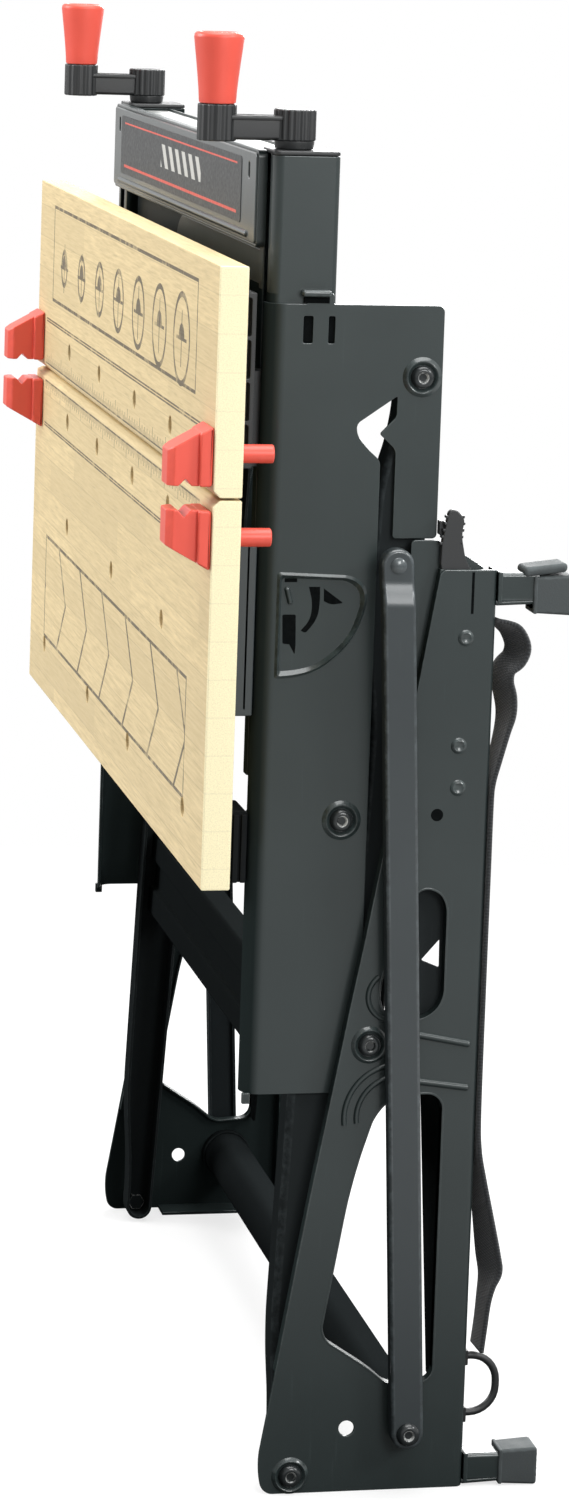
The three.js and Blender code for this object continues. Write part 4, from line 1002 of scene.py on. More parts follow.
class BuildCranks(bpy.types.Operator):
    """Builds the cranks with a ribbed hub and socket, and the flared knobs that turn on them."""

    bl_idname = "workbench.cranks"
    bl_label = "Cranks and knobs"

    def execute(self, context):
        bore, skirt_top, arm_top = 6.3, HUB_Z + 5.2, 879.3
        hub = self.ribbed(13.3, BEAM_X, SCREW_Y, HUB_Z + 5, HUB_Z + 24.7, 20)
        skirt = [(bore, HUB_Z), (12.0, HUB_Z), (12.6, skirt_top), (bore, skirt_top)]
        skirt = lathe("Z", [*skirt, skirt[0]], BEAM_X, SCREW_Y)
        soften(skirt, 0.6, 2, 60)
        arm = brick((267, 281), (KNOB_Y, SCREW_Y), (863.8, arm_top), 2.2, 3)
        rail = brick((265.6, 282.4), (KNOB_Y, SCREW_Y), (arm_top - 3, arm_top), 0.9)
        socket = self.ribbed(12.2, BEAM_X, KNOB_Y, 862.8, SOCKET_TOP_Z, 16)
        pin = rod("Z", 4, BEAM_X, KNOB_Y, SOCKET_TOP_Z - 1, SOCKET_TOP_Z + 32, 0.8)
        pair("crank_arm", add(blank(), hub, skirt, arm, rail, socket, pin))
        pair("crank_knob", self.knob())
        return {"FINISHED"}

    def ribbed(self, radius, x, y, low, high, ribs):
        """A round boss with upright ribs and rounded ends."""
        bm = blank()
        ring = bmesh.ops.create_circle(bm, cap_ends=True, radius=radius, segments=ribs * 4)["verts"]
        for i, vert in enumerate(ring):
            if i % 4 in (0, 1):
                vert.co *= (radius - 0.8) / radius
        bmesh.ops.translate(bm, verts=ring, vec=(x, y, low))
        thicken(bm, "Z", high - low)
        return soften(bm, 1.1, 3, 60, pick=lambda e: lies(e, "Z", low) or lies(e, "Z", high))

    def knob(self):
        low, high = SOCKET_TOP_Z + 0.3, SOCKET_TOP_Z + 44.3
        depth = low + 32
        profile = [(0, depth), (4.3, depth), (4.3, low), (11.0, low), (11.6, low + 0.8)]
        for share in (0.2, 0.4, 0.6, 0.8):
            profile.append((11.5 + 4.2 * share**1.25, low + share * (high - low - 4)))
        profile += [(15.7, high - 3.4), (15.4, high - 1.5), (14.2, high - 0.3), (12.6, high)]
        profile += [(11.8, high - 0.7), (0, high - 0.9)]
        return lathe("Z", profile, BEAM_X, KNOB_Y, 48)


class BuildSidePlates(bpy.types.Operator):
    """Builds the pressed side plates with their flange, slots, embossing and bolt seats."""

    bl_idname = "workbench.side_plates"
    bl_label = "Side plates"

    def execute(self, context):
        bend = size("bend")
        front, top, low, slot_y = -83.3 + bend, 764.0, 260.0, 1.5
        seat_y, seat_z, pin = *STRUT_SEAT, STRUT_PIN
        corners = [
            (front, low),
            (-14, low, 4),
            (-14, 325, 4),
            (-8, 362, 4),
            (-8, seat_z - 5 * pin, 3),
            (seat_y + pin, seat_z - 3.4 * pin, 2),
            (seat_y - pin, seat_z - 1.1 * pin, 3),
            (seat_y - pin - 1, seat_z + 0.75 * pin, 3),
            (slot_y, seat_z + 5.2 * pin, 1),
            (slot_y, seat_z + 2 * pin, 2),
            (seat_y + 2.5 * pin, seat_z - 0.75 * pin, 1.5),
            (slot_y, seat_z - 3.2 * pin, 3),
            (slot_y, 617, 2),
            (30, 617, 3),
            (30, top, 4),
            *((-41, top, 1), (-41, 771, 2), (-58, 771, 2), (-58, top, 1)),
            (front, top),
        ]
        emboss = [(-70, 594, 2), (-24, 592, 6), (-16, 586, 6), (-14.6, 577, 8), (-18, 564, 8)]
        emboss += [(-24, 552, 8), (-33.6, 542, 8), (-45, 534, 8), (-57, 530.5, 8), (-70, 529.5, 2)]
        holes = [rect(y, 739.5, y + w, 756.5, 1) for y, w in TAB_SLOTS]
        pivots = (REAR_LEG[0], FRONT_LEG[0])
        rounds = [(*pivot, BOLT_HOLE) for pivot in pivots]
        bm = plate("X", PLATE_IN, PLATE_OUT, corners, holes + [emboss], rounds)
        folded(bm, front, PLATE_OUT, -1, bend, 14 - bend)
        soften(bm, size("steel_edge"), 2, 50)
        tongue = brick((294.0, PLATE_OUT), (-83.0, -78.0), (254.0, 261.0), 0.6)
        rim = [(7.8, 0.0), (9.4, 1.7), (10.1, 1.9), (11.0, 1.4), (12.8, -0.1)]
        seats = [bolt_seat(PLATE_OUT, y, z, rim) for y, z in pivots]
        louver = brick((PLATE_IN, PLATE_OUT + 4.2), (-62, -43.5), (768.6, 773), 1.8, 4)
        dish = self.dish(emboss, (-46, 565), 0.92)
        pair("side_plate", add(bm, tongue, dish, *seats, louver))
        # Near-black sheets painted as the shadow in the slots, under the louver and in the pockets.
        shadow_finish = finish("shadow_steel")
        extra_pair("plate_backing", self.backing(), "side_plate", "dark_steel", shadow_finish)
        return {"FINISHED"}

    def dish(self, outline, centre, share):
        """A shallow pressed recess: a floor inside an outline and a sloped wall up to the plate,
        the wall marked for a painted highlight.
        """
        depth = 1.5
        floor = [
            (centre[0] + (y - centre[0]) * share, centre[1] + (z - centre[1]) * share, ease)
            for y, z, ease in outline
        ]
        bm = plate("X", 295.4, PLATE_OUT - depth, floor)
        slope = blank()
        loop(slope, "X", PLATE_OUT - 0.1, outline, 6)
        shift = Matrix.Translation((0, -centre[0], -centre[1]))
        bmesh.ops.scale(slope, vec=(1, 1.06, 1.06), space=shift, verts=slope.verts[:])
        ring = slope.edges[:]
        for widen, lift in ((0.955, 1.0), (0.985, 0.3), (share / 0.997, -1.2 - depth)):
            made = bmesh.ops.extrude_edge_only(slope, edges=ring)["geom"]
            moved = only(made, bmesh.types.BMVert)
            ring = only(made, bmesh.types.BMEdge)
            bmesh.ops.scale(slope, vec=(1, widen, widen), space=shift, verts=moved)
            bmesh.ops.translate(slope, vec=(lift, 0, 0), verts=moved)
        outward(slope)
        bmesh.ops.solidify(slope, geom=slope.faces[:], thickness=0.3)
        tab = capsule((PLATE_OUT - depth, -65, 586), (PLATE_OUT - depth, -62, 575), 1.8)
        return add(bm, mark_highlight(outward(slope)), tab)

    def backing(self):
        """Painted shadow: near-black sheets just behind the tab slots, under the louver and in the
        embossing's pockets.
        """
        parts = [block((295.4, 295.8), (y - 1, y + w + 1), (738, 758)) for y, w in TAB_SLOTS]
        parts.append(block((PLATE_IN - 0.1, PLATE_OUT + 0.15), (-60, -44), (764.5, 768.4)))
        post = [(-67, 568.4, 1), (-58.5, 568.4, 1), (-58, 549, 1), (-58.4, 543, 1)]
        post += [(-62, 549.5), (-66.4, 550, 1)]
        hook = [(-50.6, 586), (-43.5, 586), (-43.3, 574, 5), (-45, 565, 6), (-52, 556.5, 2)]
        hook += [(-55, 558.3), (-49, 565, 6), (-48, 576, 4)]
        fin = [(-41, 585), (-28.3, 575.8, 1), (-36, 574.6, 3), (-40.8, 577)]
        bar = [(-66.3, 591.4), (-58.3, 591.4), (-58.3, 589), (-66.3, 589)]
        parts += [plate("X", 295.7, PLATE_OUT - 1.35, shape) for shape in (post, hook, fin, bar)]
        return add(blank(), *parts)


class BuildApron(bpy.types.Operator):
    """Builds the front apron with its printed panel, and the tie plate behind it."""

    bl_idname = "workbench.apron"
    bl_label = "Apron and tie plate"

    def execute(self, context):
        low, high, front, rear = 798.5, BEAM_TOP, -88.3, -81.3
        back = front + 2
        across = (-BEAM_GAP, BEAM_GAP)
        slots = [rect(s * 247, high - 17, s * 252, high - 7, 1.4) for s in (1, -1)]
        sheet = rect(-272, low, 272, high, 3)
        face = plate("Y", front, back, sheet, slots)
        soften(face, 0.9, 3, pick=lambda e: lies(e, "Y", front))
        rim = wall("Y", front + 1.2, rear, sheet, 2.0)
        shelf = brick(across, (back, -50.3), (high - 8, high - 6), 0.6)
        ledge = brick(across, (back, -72.3), (low, low + 2), 0.6)
        lip = brick(across, (-52.2, -50.4), (high - 7.8, high), 0.6)
        bead = capsule((-248, front + 0.6, low + 4.5), (248, front + 0.6, low + 4.5), 2.4)
        piece("front_apron", add(face, rim, shelf, ledge, lip, bead))
        tray = block((-252.5, 252.5), (back + 0.2, -52.6), (high - 2.4, high - 1.6))
        extra("apron_tray", soften(tray, 0.2, 1), "front_apron", "zinc_steel")
        label = plate("Y", front - 0.35, front + 0.2, rect(-240, low + 10, 226, high - 5, 3))
        label = soften(label, 0.15, 1)
        extra("apron_label", label, "front_apron", "black_plastic", apron_print())
        tie = plate("Y", -73, -71, rect(-BEAM_GAP, 690, BEAM_GAP, 797, 2))
        piece("tie_plate", soften(tie, size("steel_edge"), 2))
        end = BEAM_GAP - 2
        panel = [(-78, 692, 3), (end, 692, 3), (end, 792, 3), (-62, 792, 16), (-78, 776, 16)]
        panel = soften(plate("Y", -75, -72.9, panel), 0.8, 3)
        extra("tie_panel", panel, "tie_plate", "slate_steel")
        return {"FINISHED"}


class BuildCarriers(bpy.types.Operator):
    """Builds the moulded blocks that carry the jaws on the beams."""

    bl_idname = "workbench.carriers"
    bl_label = "Jaw carriers and supports"

    def execute(self, context):
        front, rise = JAW_BACK_Y + 0.3, (660, 720)
        pad = self.cored(660, 110, front, -88.8, 4)
        nut = brick((255.5, 292.5), (-78.5, -41.5), rise, 1.5)
        neck = block((267, 281), (-89.1, -78.2), rise)
        pair("jaw_carrier", add(pad, nut, neck))
        support = brick((BLOCK_IN, BLOCK_OUT), (front, BLOCK_BACK_Y), (503, 615), 1.2, 3)
        side = (BLOCK_OUT - 1.2, BLOCK_OUT)
        webs = [brick(side, (y, y + 2.2), (507, 611), 0.5) for y in (-103.0, -90.0)]
        pair("rear_jaw_support", add(support, *webs))
        bracket = self.ribbed(396, 46, front, BLOCK_BACK_Y, 5)
        pair("rear_jaw_bracket", bracket, finish("bracket_plastic"))
        return {"FINISHED"}

    def cored(self, low, length, front, back, cells):
        """A block whose outer sides are cored into cells between ribs."""
        wall_ends, rib, high = 2, 2.4, low + length
        cell = (length - 2 * wall_ends) / cells
        holes = []
        for i in range(cells):
            z = low + wall_ends + i * cell
            holes.append(rect(front + 3, z + rib / 2, back - 3, z + cell - rib / 2, 1.5))
        side = rect(front, low, back, high, 1)
        shells = [
            soften(plate("X", x, x + 9, side, holes), 0.5, 2) for x in (BLOCK_IN, BLOCK_OUT - 9)
        ]
        core = brick((264, 284), (front, back), (low + 0.4, high - 0.4), 0.5)
        return add(blank(), core, *shells)

    def ribbed(self, low, length, front, back, ribs):
        """A block with upright ribs on its outer side."""
        high = low + length
        side = [(front, low, 1), (back, low, 1), (back, high, 3), (front, high, 1)]
        parts = [soften(plate("X", BLOCK_IN, 289.5, side), 0.6, 2)]
        pitch = (back - front) / ribs
        for i in range(ribs):
            y = front + i * pitch
            span = (y + 0.9, y + pitch - 0.9)
            parts.append(brick((288.5, BLOCK_OUT), span, (low, high - 2), 0.7))
        return add(blank(), *parts)


class BuildLegs(bpy.types.Operator):
    """Builds the pressed legs and the channel and tube that join them."""

    bl_idname = "workbench.legs"
    bl_label = "Legs"

    def execute(self, context):
        rear_belly = ((0.16, 0.0), (0.26, 6.0), (0.8, 6.0), (0.93, 0.0))
        front_belly = ((0.08, 0.0), (0.16, 9.0), (0.4, 9.0), (0.52, 0.0))
        rows = (
            ("rear_leg", REAR_LEG, (14, 9.5), rear_belly),
            ("front_leg", FRONT_LEG, (12.5, 12.5), front_belly),
        )
        for node, ends, radii, belly in rows:
            bm = link(LEG_IN, LEG_OUT, ends, radii, belly)
            soften(bm, 4.5, 5, pick=lambda e: lies(e, "X", LEG_OUT))
            hollow(bm, LEG_IN, 2.0, 17.5)
            pair(node, soften(bm, 0.4, 2, 60, pick=lambda e: lies(e, "X", LEG_IN)))
        # The channel and rod take the shaded copy of dark steel: painted shade.
        piece("rear_leg_channel", self.channel(), finish("cross_steel_shaded"))
        y, z = Vector(FRONT_LEG[0]).lerp(Vector(FRONT_LEG[1]), 0.5)
        bar = tube("X", 7, 9, y, z, -CROSS_X, CROSS_X, 0.4)
        piece("front_leg_rod", bar, finish("cross_steel_shaded"))
        return {"FINISHED"}

    def channel(self):
        """A channel with a pressed groove along its web, leaning with the rear legs."""
        d, h, g, sheet = 9.0, 31.0, 62 / 6, 2
        half = [
            (-d, -h, 3),
            (d, -h, 0.6),
            (d, -h + sheet, 0.6),
            (-d + sheet, -h + sheet, 2),
            (-d + sheet, -g - sheet, 1),
            (-d + 6, -g - sheet, 2),
        ]
        section = half + [(u, -v, ease) for u, v, ease in reversed(half)]
        section += [(-d, g, 2), (-d + 4, g, 2), (-d + 4, -g, 2), (-d, -g, 2)]
        bm = plate("X", -CROSS_X, CROSS_X, section, segments=4)
        soften(bm, 0.4, 2, 60)
        (top_y, top_z), (foot_y, foot_z) = REAR_LEG
        drop, run_y, run_z = 166, foot_y - top_y, top_z - foot_z
        turn = Matrix.Rotation(math.atan2(run_y, run_z), 3, "X")
        bmesh.ops.rotate(bm, cent=(0, 0, 0), matrix=turn, verts=bm.verts[:])
        place = (0, top_y + run_y * drop / run_z, top_z - drop)
        bmesh.ops.translate(bm, verts=bm.verts[:], vec=place)
        return bm


class BuildStruts(bpy.types.Operator):
    """Builds the channel-shaped struts, whose heads are set back towards the bench."""

    bl_idname = "workbench.struts"
    bl_label = "Struts"

    def execute(self, context):
        bm = link(STRUT_IN, STRUT_OUT, STRUT, (10.5, 10.5))
        low, rise, cuts = 577.0, 17.0, 8
        for step in range(cuts + 1):
            everything = bm.verts[:] + bm.edges[:] + bm.faces[:]
            cut = (0, 0, low + rise * step / cuts)
            bmesh.ops.bisect_plane(bm, geom=everything, plane_co=cut, plane_no=(0, 0, 1))
        soften(bm, 2.4, 4, pick=lambda e: lies(e, "X", STRUT_OUT))
        hollow(bm, STRUT_IN, 2.0, 7.0)
        soften(bm, 0.4, 2, 60, pick=lambda e: lies(e, "X", STRUT_IN))
        joggle = size("joggle")
        for vert in bm.verts:
            share = min(1, max(0, (vert.co.z - low) / rise))
            vert.co.x -= joggle * share * share * (3 - 2 * share)
        y, z = STRUT[0]
        pin = rod("X", STRUT_PIN, y, z, PLATE_OUT + 1.5, STRUT_OUT - 4, 0.8)
        face, rivet = STRUT_OUT - joggle, [(0, -1), (5.2, -1), (5.2, 0.3), (3.9, 1.3), (0, 1.9)]
        rivet = lathe("X", [(radius, face + lift) for radius, lift in rivet], y, z)
        # The rivet is marked for a painted highlight.
        pair("strut", add(bm, pin, mark_highlight(rivet)))
        return {"FINISHED"}


class BuildBaseSides(bpy.types.Operator):
    """Builds the long pressed side plates of the base, with windows, flanges and beads."""

    bl_idname = "workbench.base_sides"
    bl_label = "Base side plates"

    def execute(self, context):
        bend = 4.5
        rear, top = BASE_REAR_Y - bend, 599
        edge = [(31, top, 4), (1.5, 420, 60), (-28, 262, 60)]
        edge += [(-50, 130, 40), (-58, 80, 40), (-68, 20, 10)]
        corners = edge + [(-64, 0, 7), (rear, 0), (rear, top)]
        upper = [(8, 313, 6), (20, 308, 8), (36, 313, 8), (43, 323, 8), (43, 385, 8)]
        upper += [(36, 394, 8), (24, 394, 8), (14, 372, 12), (2, 334, 10), (2, 320, 8)]
        lower = [(45, 261, 10), (45, 72, 8), (16, 70, 6), (4, 81, 10), (-29, 103, 8)]
        lower += [(-21, 152, 30), (-12, 206, 30), (2, 250, 16), (16, 261, 10)]
        pivots = (REAR_LEG[1], FRONT_LEG[1])
        rounds = [(-10, 42, 5)] + [(*pivot, BOLT_HOLE) for pivot in (*pivots, STRUT[1])]
        bm = plate("X", BASE_IN, BASE_OUT, corners, [upper, lower], rounds, segments=8)
        folded(bm, rear, BASE_OUT, 1, bend, 14 + 2.5 - bend)
        soften(bm, 0.8, 2, 50)
        parts = [self.lip(edge[:-1]), *self.trim()]
        parts += self.beads()
        rim = [(7.8, 0.0), (9.3, 1.6), (9.9, 1.8), (10.8, 1.3), (12.2, -0.1)]
        parts += [bolt_seat(BASE_OUT, y, z, rim) for y, z in pivots]
        parts += [self.dimple(y, z, 4.2) for y, z in ((48.6, 555.6), (46.8, 486.6), (47.2, 459.6))]
        parts += [wall("X", BASE_IN - 5, BASE_OUT + 0.3, window, 1.4) for window in (upper, lower)]
        pair("base_side", add(bm, *parts))
        self.fittings()
        return {"FINISHED"}

    def lip(self, edge):
        """A narrow flange turned in along the sloped edge."""
        width, last = 2.5, len(edge) - 1
        strip = [(y, z, ease if i else 0) for i, (y, z, ease) in enumerate(edge)]
        for i, (y, z, _) in reversed(list(enumerate(edge))):
            strip.append((y + width, z, 40 if 0 < i < last else 0))
        return soften(plate("X", BASE_IN - 6, BASE_IN + 1.2, strip, segments=8), 0.5, 2, 60)

    def trim(self):
        """The folded floor, the gusset at the top and the tab beside it."""
        floor = brick((BASE_IN - 20, BASE_OUT - 0.4), (-25, 65), (0, 2.5), 0.6)
        gusset = [(13, 616.5, 3), (45, 616.5, 3), (49, 598, 2)]
        gusset += [(31, 588), (18, 516, 2), (13, 540, 3)]
        gusset = soften(plate("X", BASE_IN - 7.6, BASE_IN - 5.6, gusset), 0.5, 2)
        tab = [(44, 596), (60, 596), (59.5, 600, 2), (47, 608, 2)]
        tab = soften(plate("X", BASE_IN - 4, BASE_IN - 2, tab), 0.5, 2)
        return floor, gusset, tab

    def beads(self):
        """The beads pressed across and round the plate."""
        x = BASE_OUT - 0.4
        cross = ((300.8, 293.2), (270.4, 264.8))
        arcs = ((15, 247, 26, 100, 88), (15, 247, 34, 100, 88), (9.5, 325.5, 15.5, 125, 130))
        straight = [capsule((x, 24, z0), (x, 62, z1), 2.4) for z0, z1 in cross]
        return straight + [arc_bead(x, *arc, 1.9) for arc in arcs]

    def dimple(self, y, z, radius):
        """A small pressed pip that holds a rivet behind the sheet, marked for a painted highlight.
        """
        pip = ((0, 0.5), (0.5, 0.6), (0.8, 1.2), (1, 0.9), (1.3, -0.2), (0, -0.4))
        pip = [(radius * share, BASE_OUT + lift) for share, lift in pip]
        return mark_highlight(lathe("X", pip, y, z, 24))

    def fittings(self):
        """The plug and groove on the plate, the stile beside the window and the doubler behind."""
        # The plug, the groove and the stile are near-black painted shadow.
        shadow_finish = finish("shadow_steel")
        plug = rod("X", 4.0, 34.3, 442.3, BASE_OUT - 1, BASE_OUT + 0.2, 0.2, segments=1)
        groove = block((BASE_OUT - 0.5, BASE_OUT + 0.12), (51.2, 52.9), (571, 597.5))
        extra_pair("base_plug", add(plug, groove), "base_side", "dark_steel", shadow_finish)
        stile = [(BASE_IN + 1, 72), (BASE_IN + 1, 261), (BASE_IN - 62, 261), (BASE_IN - 15, 72)]
        stile = soften(plate("Y", 45, 47, stile), 0.5, 2)
        extra_pair("base_stile", stile, "base_side", "dark_steel", shadow_finish)
        doubler = [(14, 302, 4), (50, 302, 4), (50, 402, 4), (22, 402, 4), (14, 360, 10)]
        notch = [(29.6, 346.6, 1), (41.5, 341.6, 1), (41.2, 359.9, 1)]
        doubler = soften(plate("X", BASE_IN - 7.8, BASE_IN - 5.8, doubler, [notch]), 0.4, 2)
        extra("base_doubler", doubler, "base_side_right", "dark_steel")


class BuildCrossMembers(bpy.types.Operator):
    """Builds the two tubes between the base side plates."""

    bl_idname = "workbench.cross_members"
    bl_label = "Base cross members"

    def execute(self, context):
        # The tubes take the shaded copy of dark steel: painted shade.
        half, steel = BASE_HALF, finish("cross_steel_shaded")
        bar = tube("X", 15, 17, 27, 43, -half, half, 0.4, 48)
        collars = [tube("X", 17, 18.6, 27, 43, x, x + 7, 0.6, 48) for x in (0.1 - half, half - 7.1)]
        piece("base_rear_bar", add(bar, *collars), steel)
        piece("base_front_tube", tube("X", 10, 12, 50, 553, -half, half, 0.4, 40), steel)
        return {"FINISHED"}


class BuildFeet(bpy.types.Operator):
    """Builds the steel stems and the flared rubber feet on them."""

    bl_idname = "workbench.feet"
    bl_label = "Feet"

    def execute(self, context):
        pair("upper_stem", self.stem(578.0, 597.0))
        pair("upper_foot", add(self.foot(570.0, 596.0), self.flap(596.0)))
        pair("lower_stem", self.stem(3.5, 21.5))
        pair("lower_foot", self.foot(0.0, 25.0))
        return {"FINISHED"}

    def about(self, half):
        return (FOOT_X - half, FOOT_X + half)

    def stem(self, low, high):
        """A square tube with a collar at the plate and a seam along its lower edge."""
        start = BASE_REAR_Y + 0.3
        bm = block(self.about(9), (start, 95.3), (low, high))
        soften(bm, 2.6, 4, pick=lambda e: abs(e.verts[0].co.y - e.verts[1].co.y) > 1)
        soften(bm, 0.4, 2, 50)
        collar = brick(self.about(9.7), (start, start + 3), (low - 0.7, high + 0.7), 1.0)
        seam = capsule((FOOT_X + 7, 67, low - 0.5), (FOOT_X + 7, 93, low + 0.6), 1.7)
        return add(bm, collar, seam)

    def foot(self, low, high):
        """A boot that flares towards its tread, with a lip at its mouth."""
        start, end, taper = 91.5, 117.0, 0.9
        middle = (low + high) / 2
        bm = block(self.about(11.5), (start, end), (low, high))
        for vert in bm.verts:
            if vert.co.y < start + 1:
                vert.co.x = FOOT_X + (vert.co.x - FOOT_X) * taper
                vert.co.z = middle + (vert.co.z - middle) * taper
        soften(bm, size("rubber_edge"), 4)
        lip = brick(self.about(10.8), (start, start + 2.6), (low + 1.0, high - 1.0), 1.0, 3)
        bars = [(low + z, low + z + 2.2) for z in (4.5, 8.7, 14.1, 18.3)]
        tread = [brick(self.about(8.5), (end - 0.6, end + 0.5), bar, 0.4) for bar in bars]
        return add(bm, lip, *tread)

    def flap(self, top):
        """A slanted flap on top of an upper foot."""
        bm = brick(self.about(11), (85, 113), (top - 0.6, top + 5.4), 2.6, 4)
        for vert in bm.verts:
            vert.co.z += (vert.co.y - 94) * 0.12
        return bm


class BuildBolts(bpy.types.Operator):
    """Builds the pivot bolts: a dished head, a collar between the plates and a nut inside."""

    bl_idname = "workbench.bolts"
    bl_label = "Pivot bolts"

    def execute(self, context):
        gap = 0.3
        rows = (
            ("upper_rear_bolt", REAR_LEG[0], PLATE_IN, PLATE_OUT),
            ("upper_front_bolt", FRONT_LEG[0], PLATE_IN, PLATE_OUT),
            ("lower_rear_bolt", REAR_LEG[1], BASE_IN, BASE_OUT),
            ("lower_front_bolt", FRONT_LEG[1], BASE_IN, BASE_OUT),
        )
        black = finish("bolt_steel")
        for node, pivot, inner, outer in rows:
            bolt = self.bolt(*pivot, LEG_OUT + gap, inner - gap, outer + gap, LEG_OUT - 2.3)
            pair(node, bolt, black)
        spans = (BASE_OUT + gap, STRUT_OUT - 2.3, STRUT_OUT + gap, BASE_IN - gap)
        pair("strut_bolt", self.bolt(*STRUT[1], *spans), black)
        return {"FINISHED"}

    def bolt(self, y, z, collar_low, collar_high, seat, nut_top):
        head = [(0, 1.5), (2.4, 1.6), (3.0, 2.9), (3.6, 3.4), (4.6, 3.5), (5.8, 3.1)]
        head += [(6.7, 2.3), (7.2, 1.3), (7.4, 0.9), (7.5, 0.7), (7.5, 0), (0, 0)]
        head = lathe("X", [(radius, seat + lift) for radius, lift in head], y, z, 40)
        # Painted glint: the socket's rim is marked to show bright zinc.
        mark_highlight(head, lambda spot: 2.3 < (spot.yz - Vector((y, z))).length < 3.7)
        shank = rod("X", BOLT_RADIUS, y, z, nut_top - 6, seat + 0.5)
        collar = tube("X", BOLT_RADIUS, 7, y, z, collar_low, collar_high, 0.4)
        nut = soften(rod("X", 6.5, y, z, nut_top - 6.5, nut_top, steps=6), 0.5, 2, 30)
        return add(blank(), head, shank, collar, nut)


class BuildStrap(bpy.types.Operator):
    """Builds the webbing tie strap and the wire loop below it."""

    bl_idname = "workbench.strap"
    bl_label = "Tie strap and loop"

    # The strap's way down the rear flange: lift off it, height, twist in degrees
    ROUTE = (
        *((0.2, 566, 4), (6, 562.5, 16), (12, 558, 24), (16, 549, 26), (14, 541, 22)),
        *((8, 535, 18), (6.5, 527, 20), (9, 517, 20), (10, 506, 14), (8, 494, 6)),
        *((4, 476, 2), (1, 462, 0), (0.2, 448, 0), (0.1, 400, 0), (0, 330, 0)),
        *((0.1, 250, 0), (0.8, 224, 3), (3.5, 204, 9), (8, 178, 17), (12.5, 152, 25)),
        *((14, 142, 24), (12.5, 133, 10), (10.8, 122, 4), (9.4, 106, 2), (7.6, 89, 2)),
    )

    def execute(self, context):
        self.strap()
        self.loop()
        return {"FINISHED"}

    def strap(self):
        half = 12
        spots = [Vector((twist, BASE_REAR_Y + 1.5 + lift, z)) for lift, z, twist in self.ROUTE]
        line = smooth_line(spots, 8)
        last = len(line) - 1
        far = [0.0]
        for here, there in zip(line, line[1:]):
            far.append(far[-1] + (there - here).yz.length)
        bm = blank()
        uv = bm.loops.layers.uv.new("UVMap")
        bmesh.ops.create_grid(bm, x_segments=8, y_segments=last, size=1)

        def row_of(vert):
            return round((vert.co.y + 1) / 2 * last)

        for face in bm.faces:
            for corner in face.loops:
                run = far[row_of(corner.vert)]
                corner[uv].uv = (run / 1000, corner.vert.co.x * half / 1000)
        for vert in bm.verts:
            row = row_of(vert)
            run = (line[min(row + 1, last)] - line[max(row - 1, 0)]).yz.normalized()
            turn, reach = math.radians(line[row].x), half * vert.co.x
            across, lift = reach * math.cos(turn), reach * math.sin(turn)
            vert.co = (STRAP_X + across, line[row].y - lift * run.y, line[row].z + lift * run.x)
        made = piece("tie_strap", outward(bm))
        thick = made.modifiers.new("Webbing thickness", "SOLIDIFY")
        thick.thickness = 0.0024
        thick.offset = 0
        made.modifiers.move(1, 0)

    def loop(self):
        bm = blank()
        wire, y0, low, high, reach, turn = 2.5, BASE_REAR_Y + 0.3, 46.0, 84.0, 22.0, 17.0
        stand = Matrix.Translation((STRAP_X, y0, high)) @ TURN["Y"]
        bmesh.ops.create_circle(bm, cap_ends=True, radius=wire, segments=16, matrix=stand)
        bow_y = y0 + reach - turn
        tip = grow(bm, bm.faces[:], (0, reach - turn, 0))
        tip = self.bow(bm, tip, (STRAP_X, bow_y, high - turn))
        tip = grow(bm, tip, (0, 0, 2 * turn - (high - low)))
        tip = self.bow(bm, tip, (STRAP_X, bow_y, low + turn))
        grow(bm, tip, (0, turn - reach, 0))
        bmesh.ops.remove_doubles(bm, verts=bm.verts[:], dist=1e-4)
        caps = [face for face in bm.faces if len(face.verts) > 4]
        inner = [face for face in caps if abs(face.calc_center_median().y - y0) >= 0.01]
        bmesh.ops.delete(bm, geom=inner, context="FACES_ONLY")
        side = (STRAP_X - 6, STRAP_X + 6)
        lugs = [brick(side, (68.1, 70.2), (z - 5, z + 5), 0.7) for z in (low, high)]
        piece("strap_loop", add(outward(bm), *lugs))

    def bow(self, bm, tip, centre):
        """Leads the wire's tip through a quarter turn."""
        made = bmesh.ops.spin(
            bm, geom=tip, cent=centre, axis=(1, 0, 0), angle=-math.pi / 2, steps=8
        )
        return only(made["geom_last"], bmesh.types.BMFace)


class BuildLatch(bpy.types.Operator):
    """Builds the ribbed latch lever that holds the base folded."""

    bl_idname = "workbench.latch"
    bl_label = "Fold latch"

    def execute(self, context):
        outer, inner = BASE_IN - 0.3, BASE_IN - 5.3
        y, z, tip = *LATCH_PIVOT, 637.0
        lever = [(y - 8, z - 8, 6), (y + 8, z - 8, 6), (y + 8, z + 4, 5), (47.5, 604, 5)]
        lever += [(44.3, 620, 4), (46.0, 631, 3), (40, tip, 3), (35.5, tip - 1, 2)]
        lever += [(31.5, 616, 3), (31, 600, 4)]
        body = soften(plate("X", inner, outer, lever), size("plastic_edge") * 0.8, 3)
        tooth = brick((PLATE_IN, inner + 1), (30.5, 34.5), (620, tip - 8), 0.6)
        pin = rod("X", 4, y, z, inner, BASE_IN, 0.8)
        ribs = []
        for i in range(5):
            low = tip - 6 - i * 4.2
            front, back = 34.3 - i * 0.85, 45.6 - abs(i - 1) * 0.5
            for span in ((front - 0.8, front + 1.2), (back - 1.2, back + 0.7)):
                ribs.append(brick((inner, outer), span, (low, low + 2), 0.6))
        piece("fold_latch", add(body, tooth, pin, *ribs))
        return {"FINISHED"}


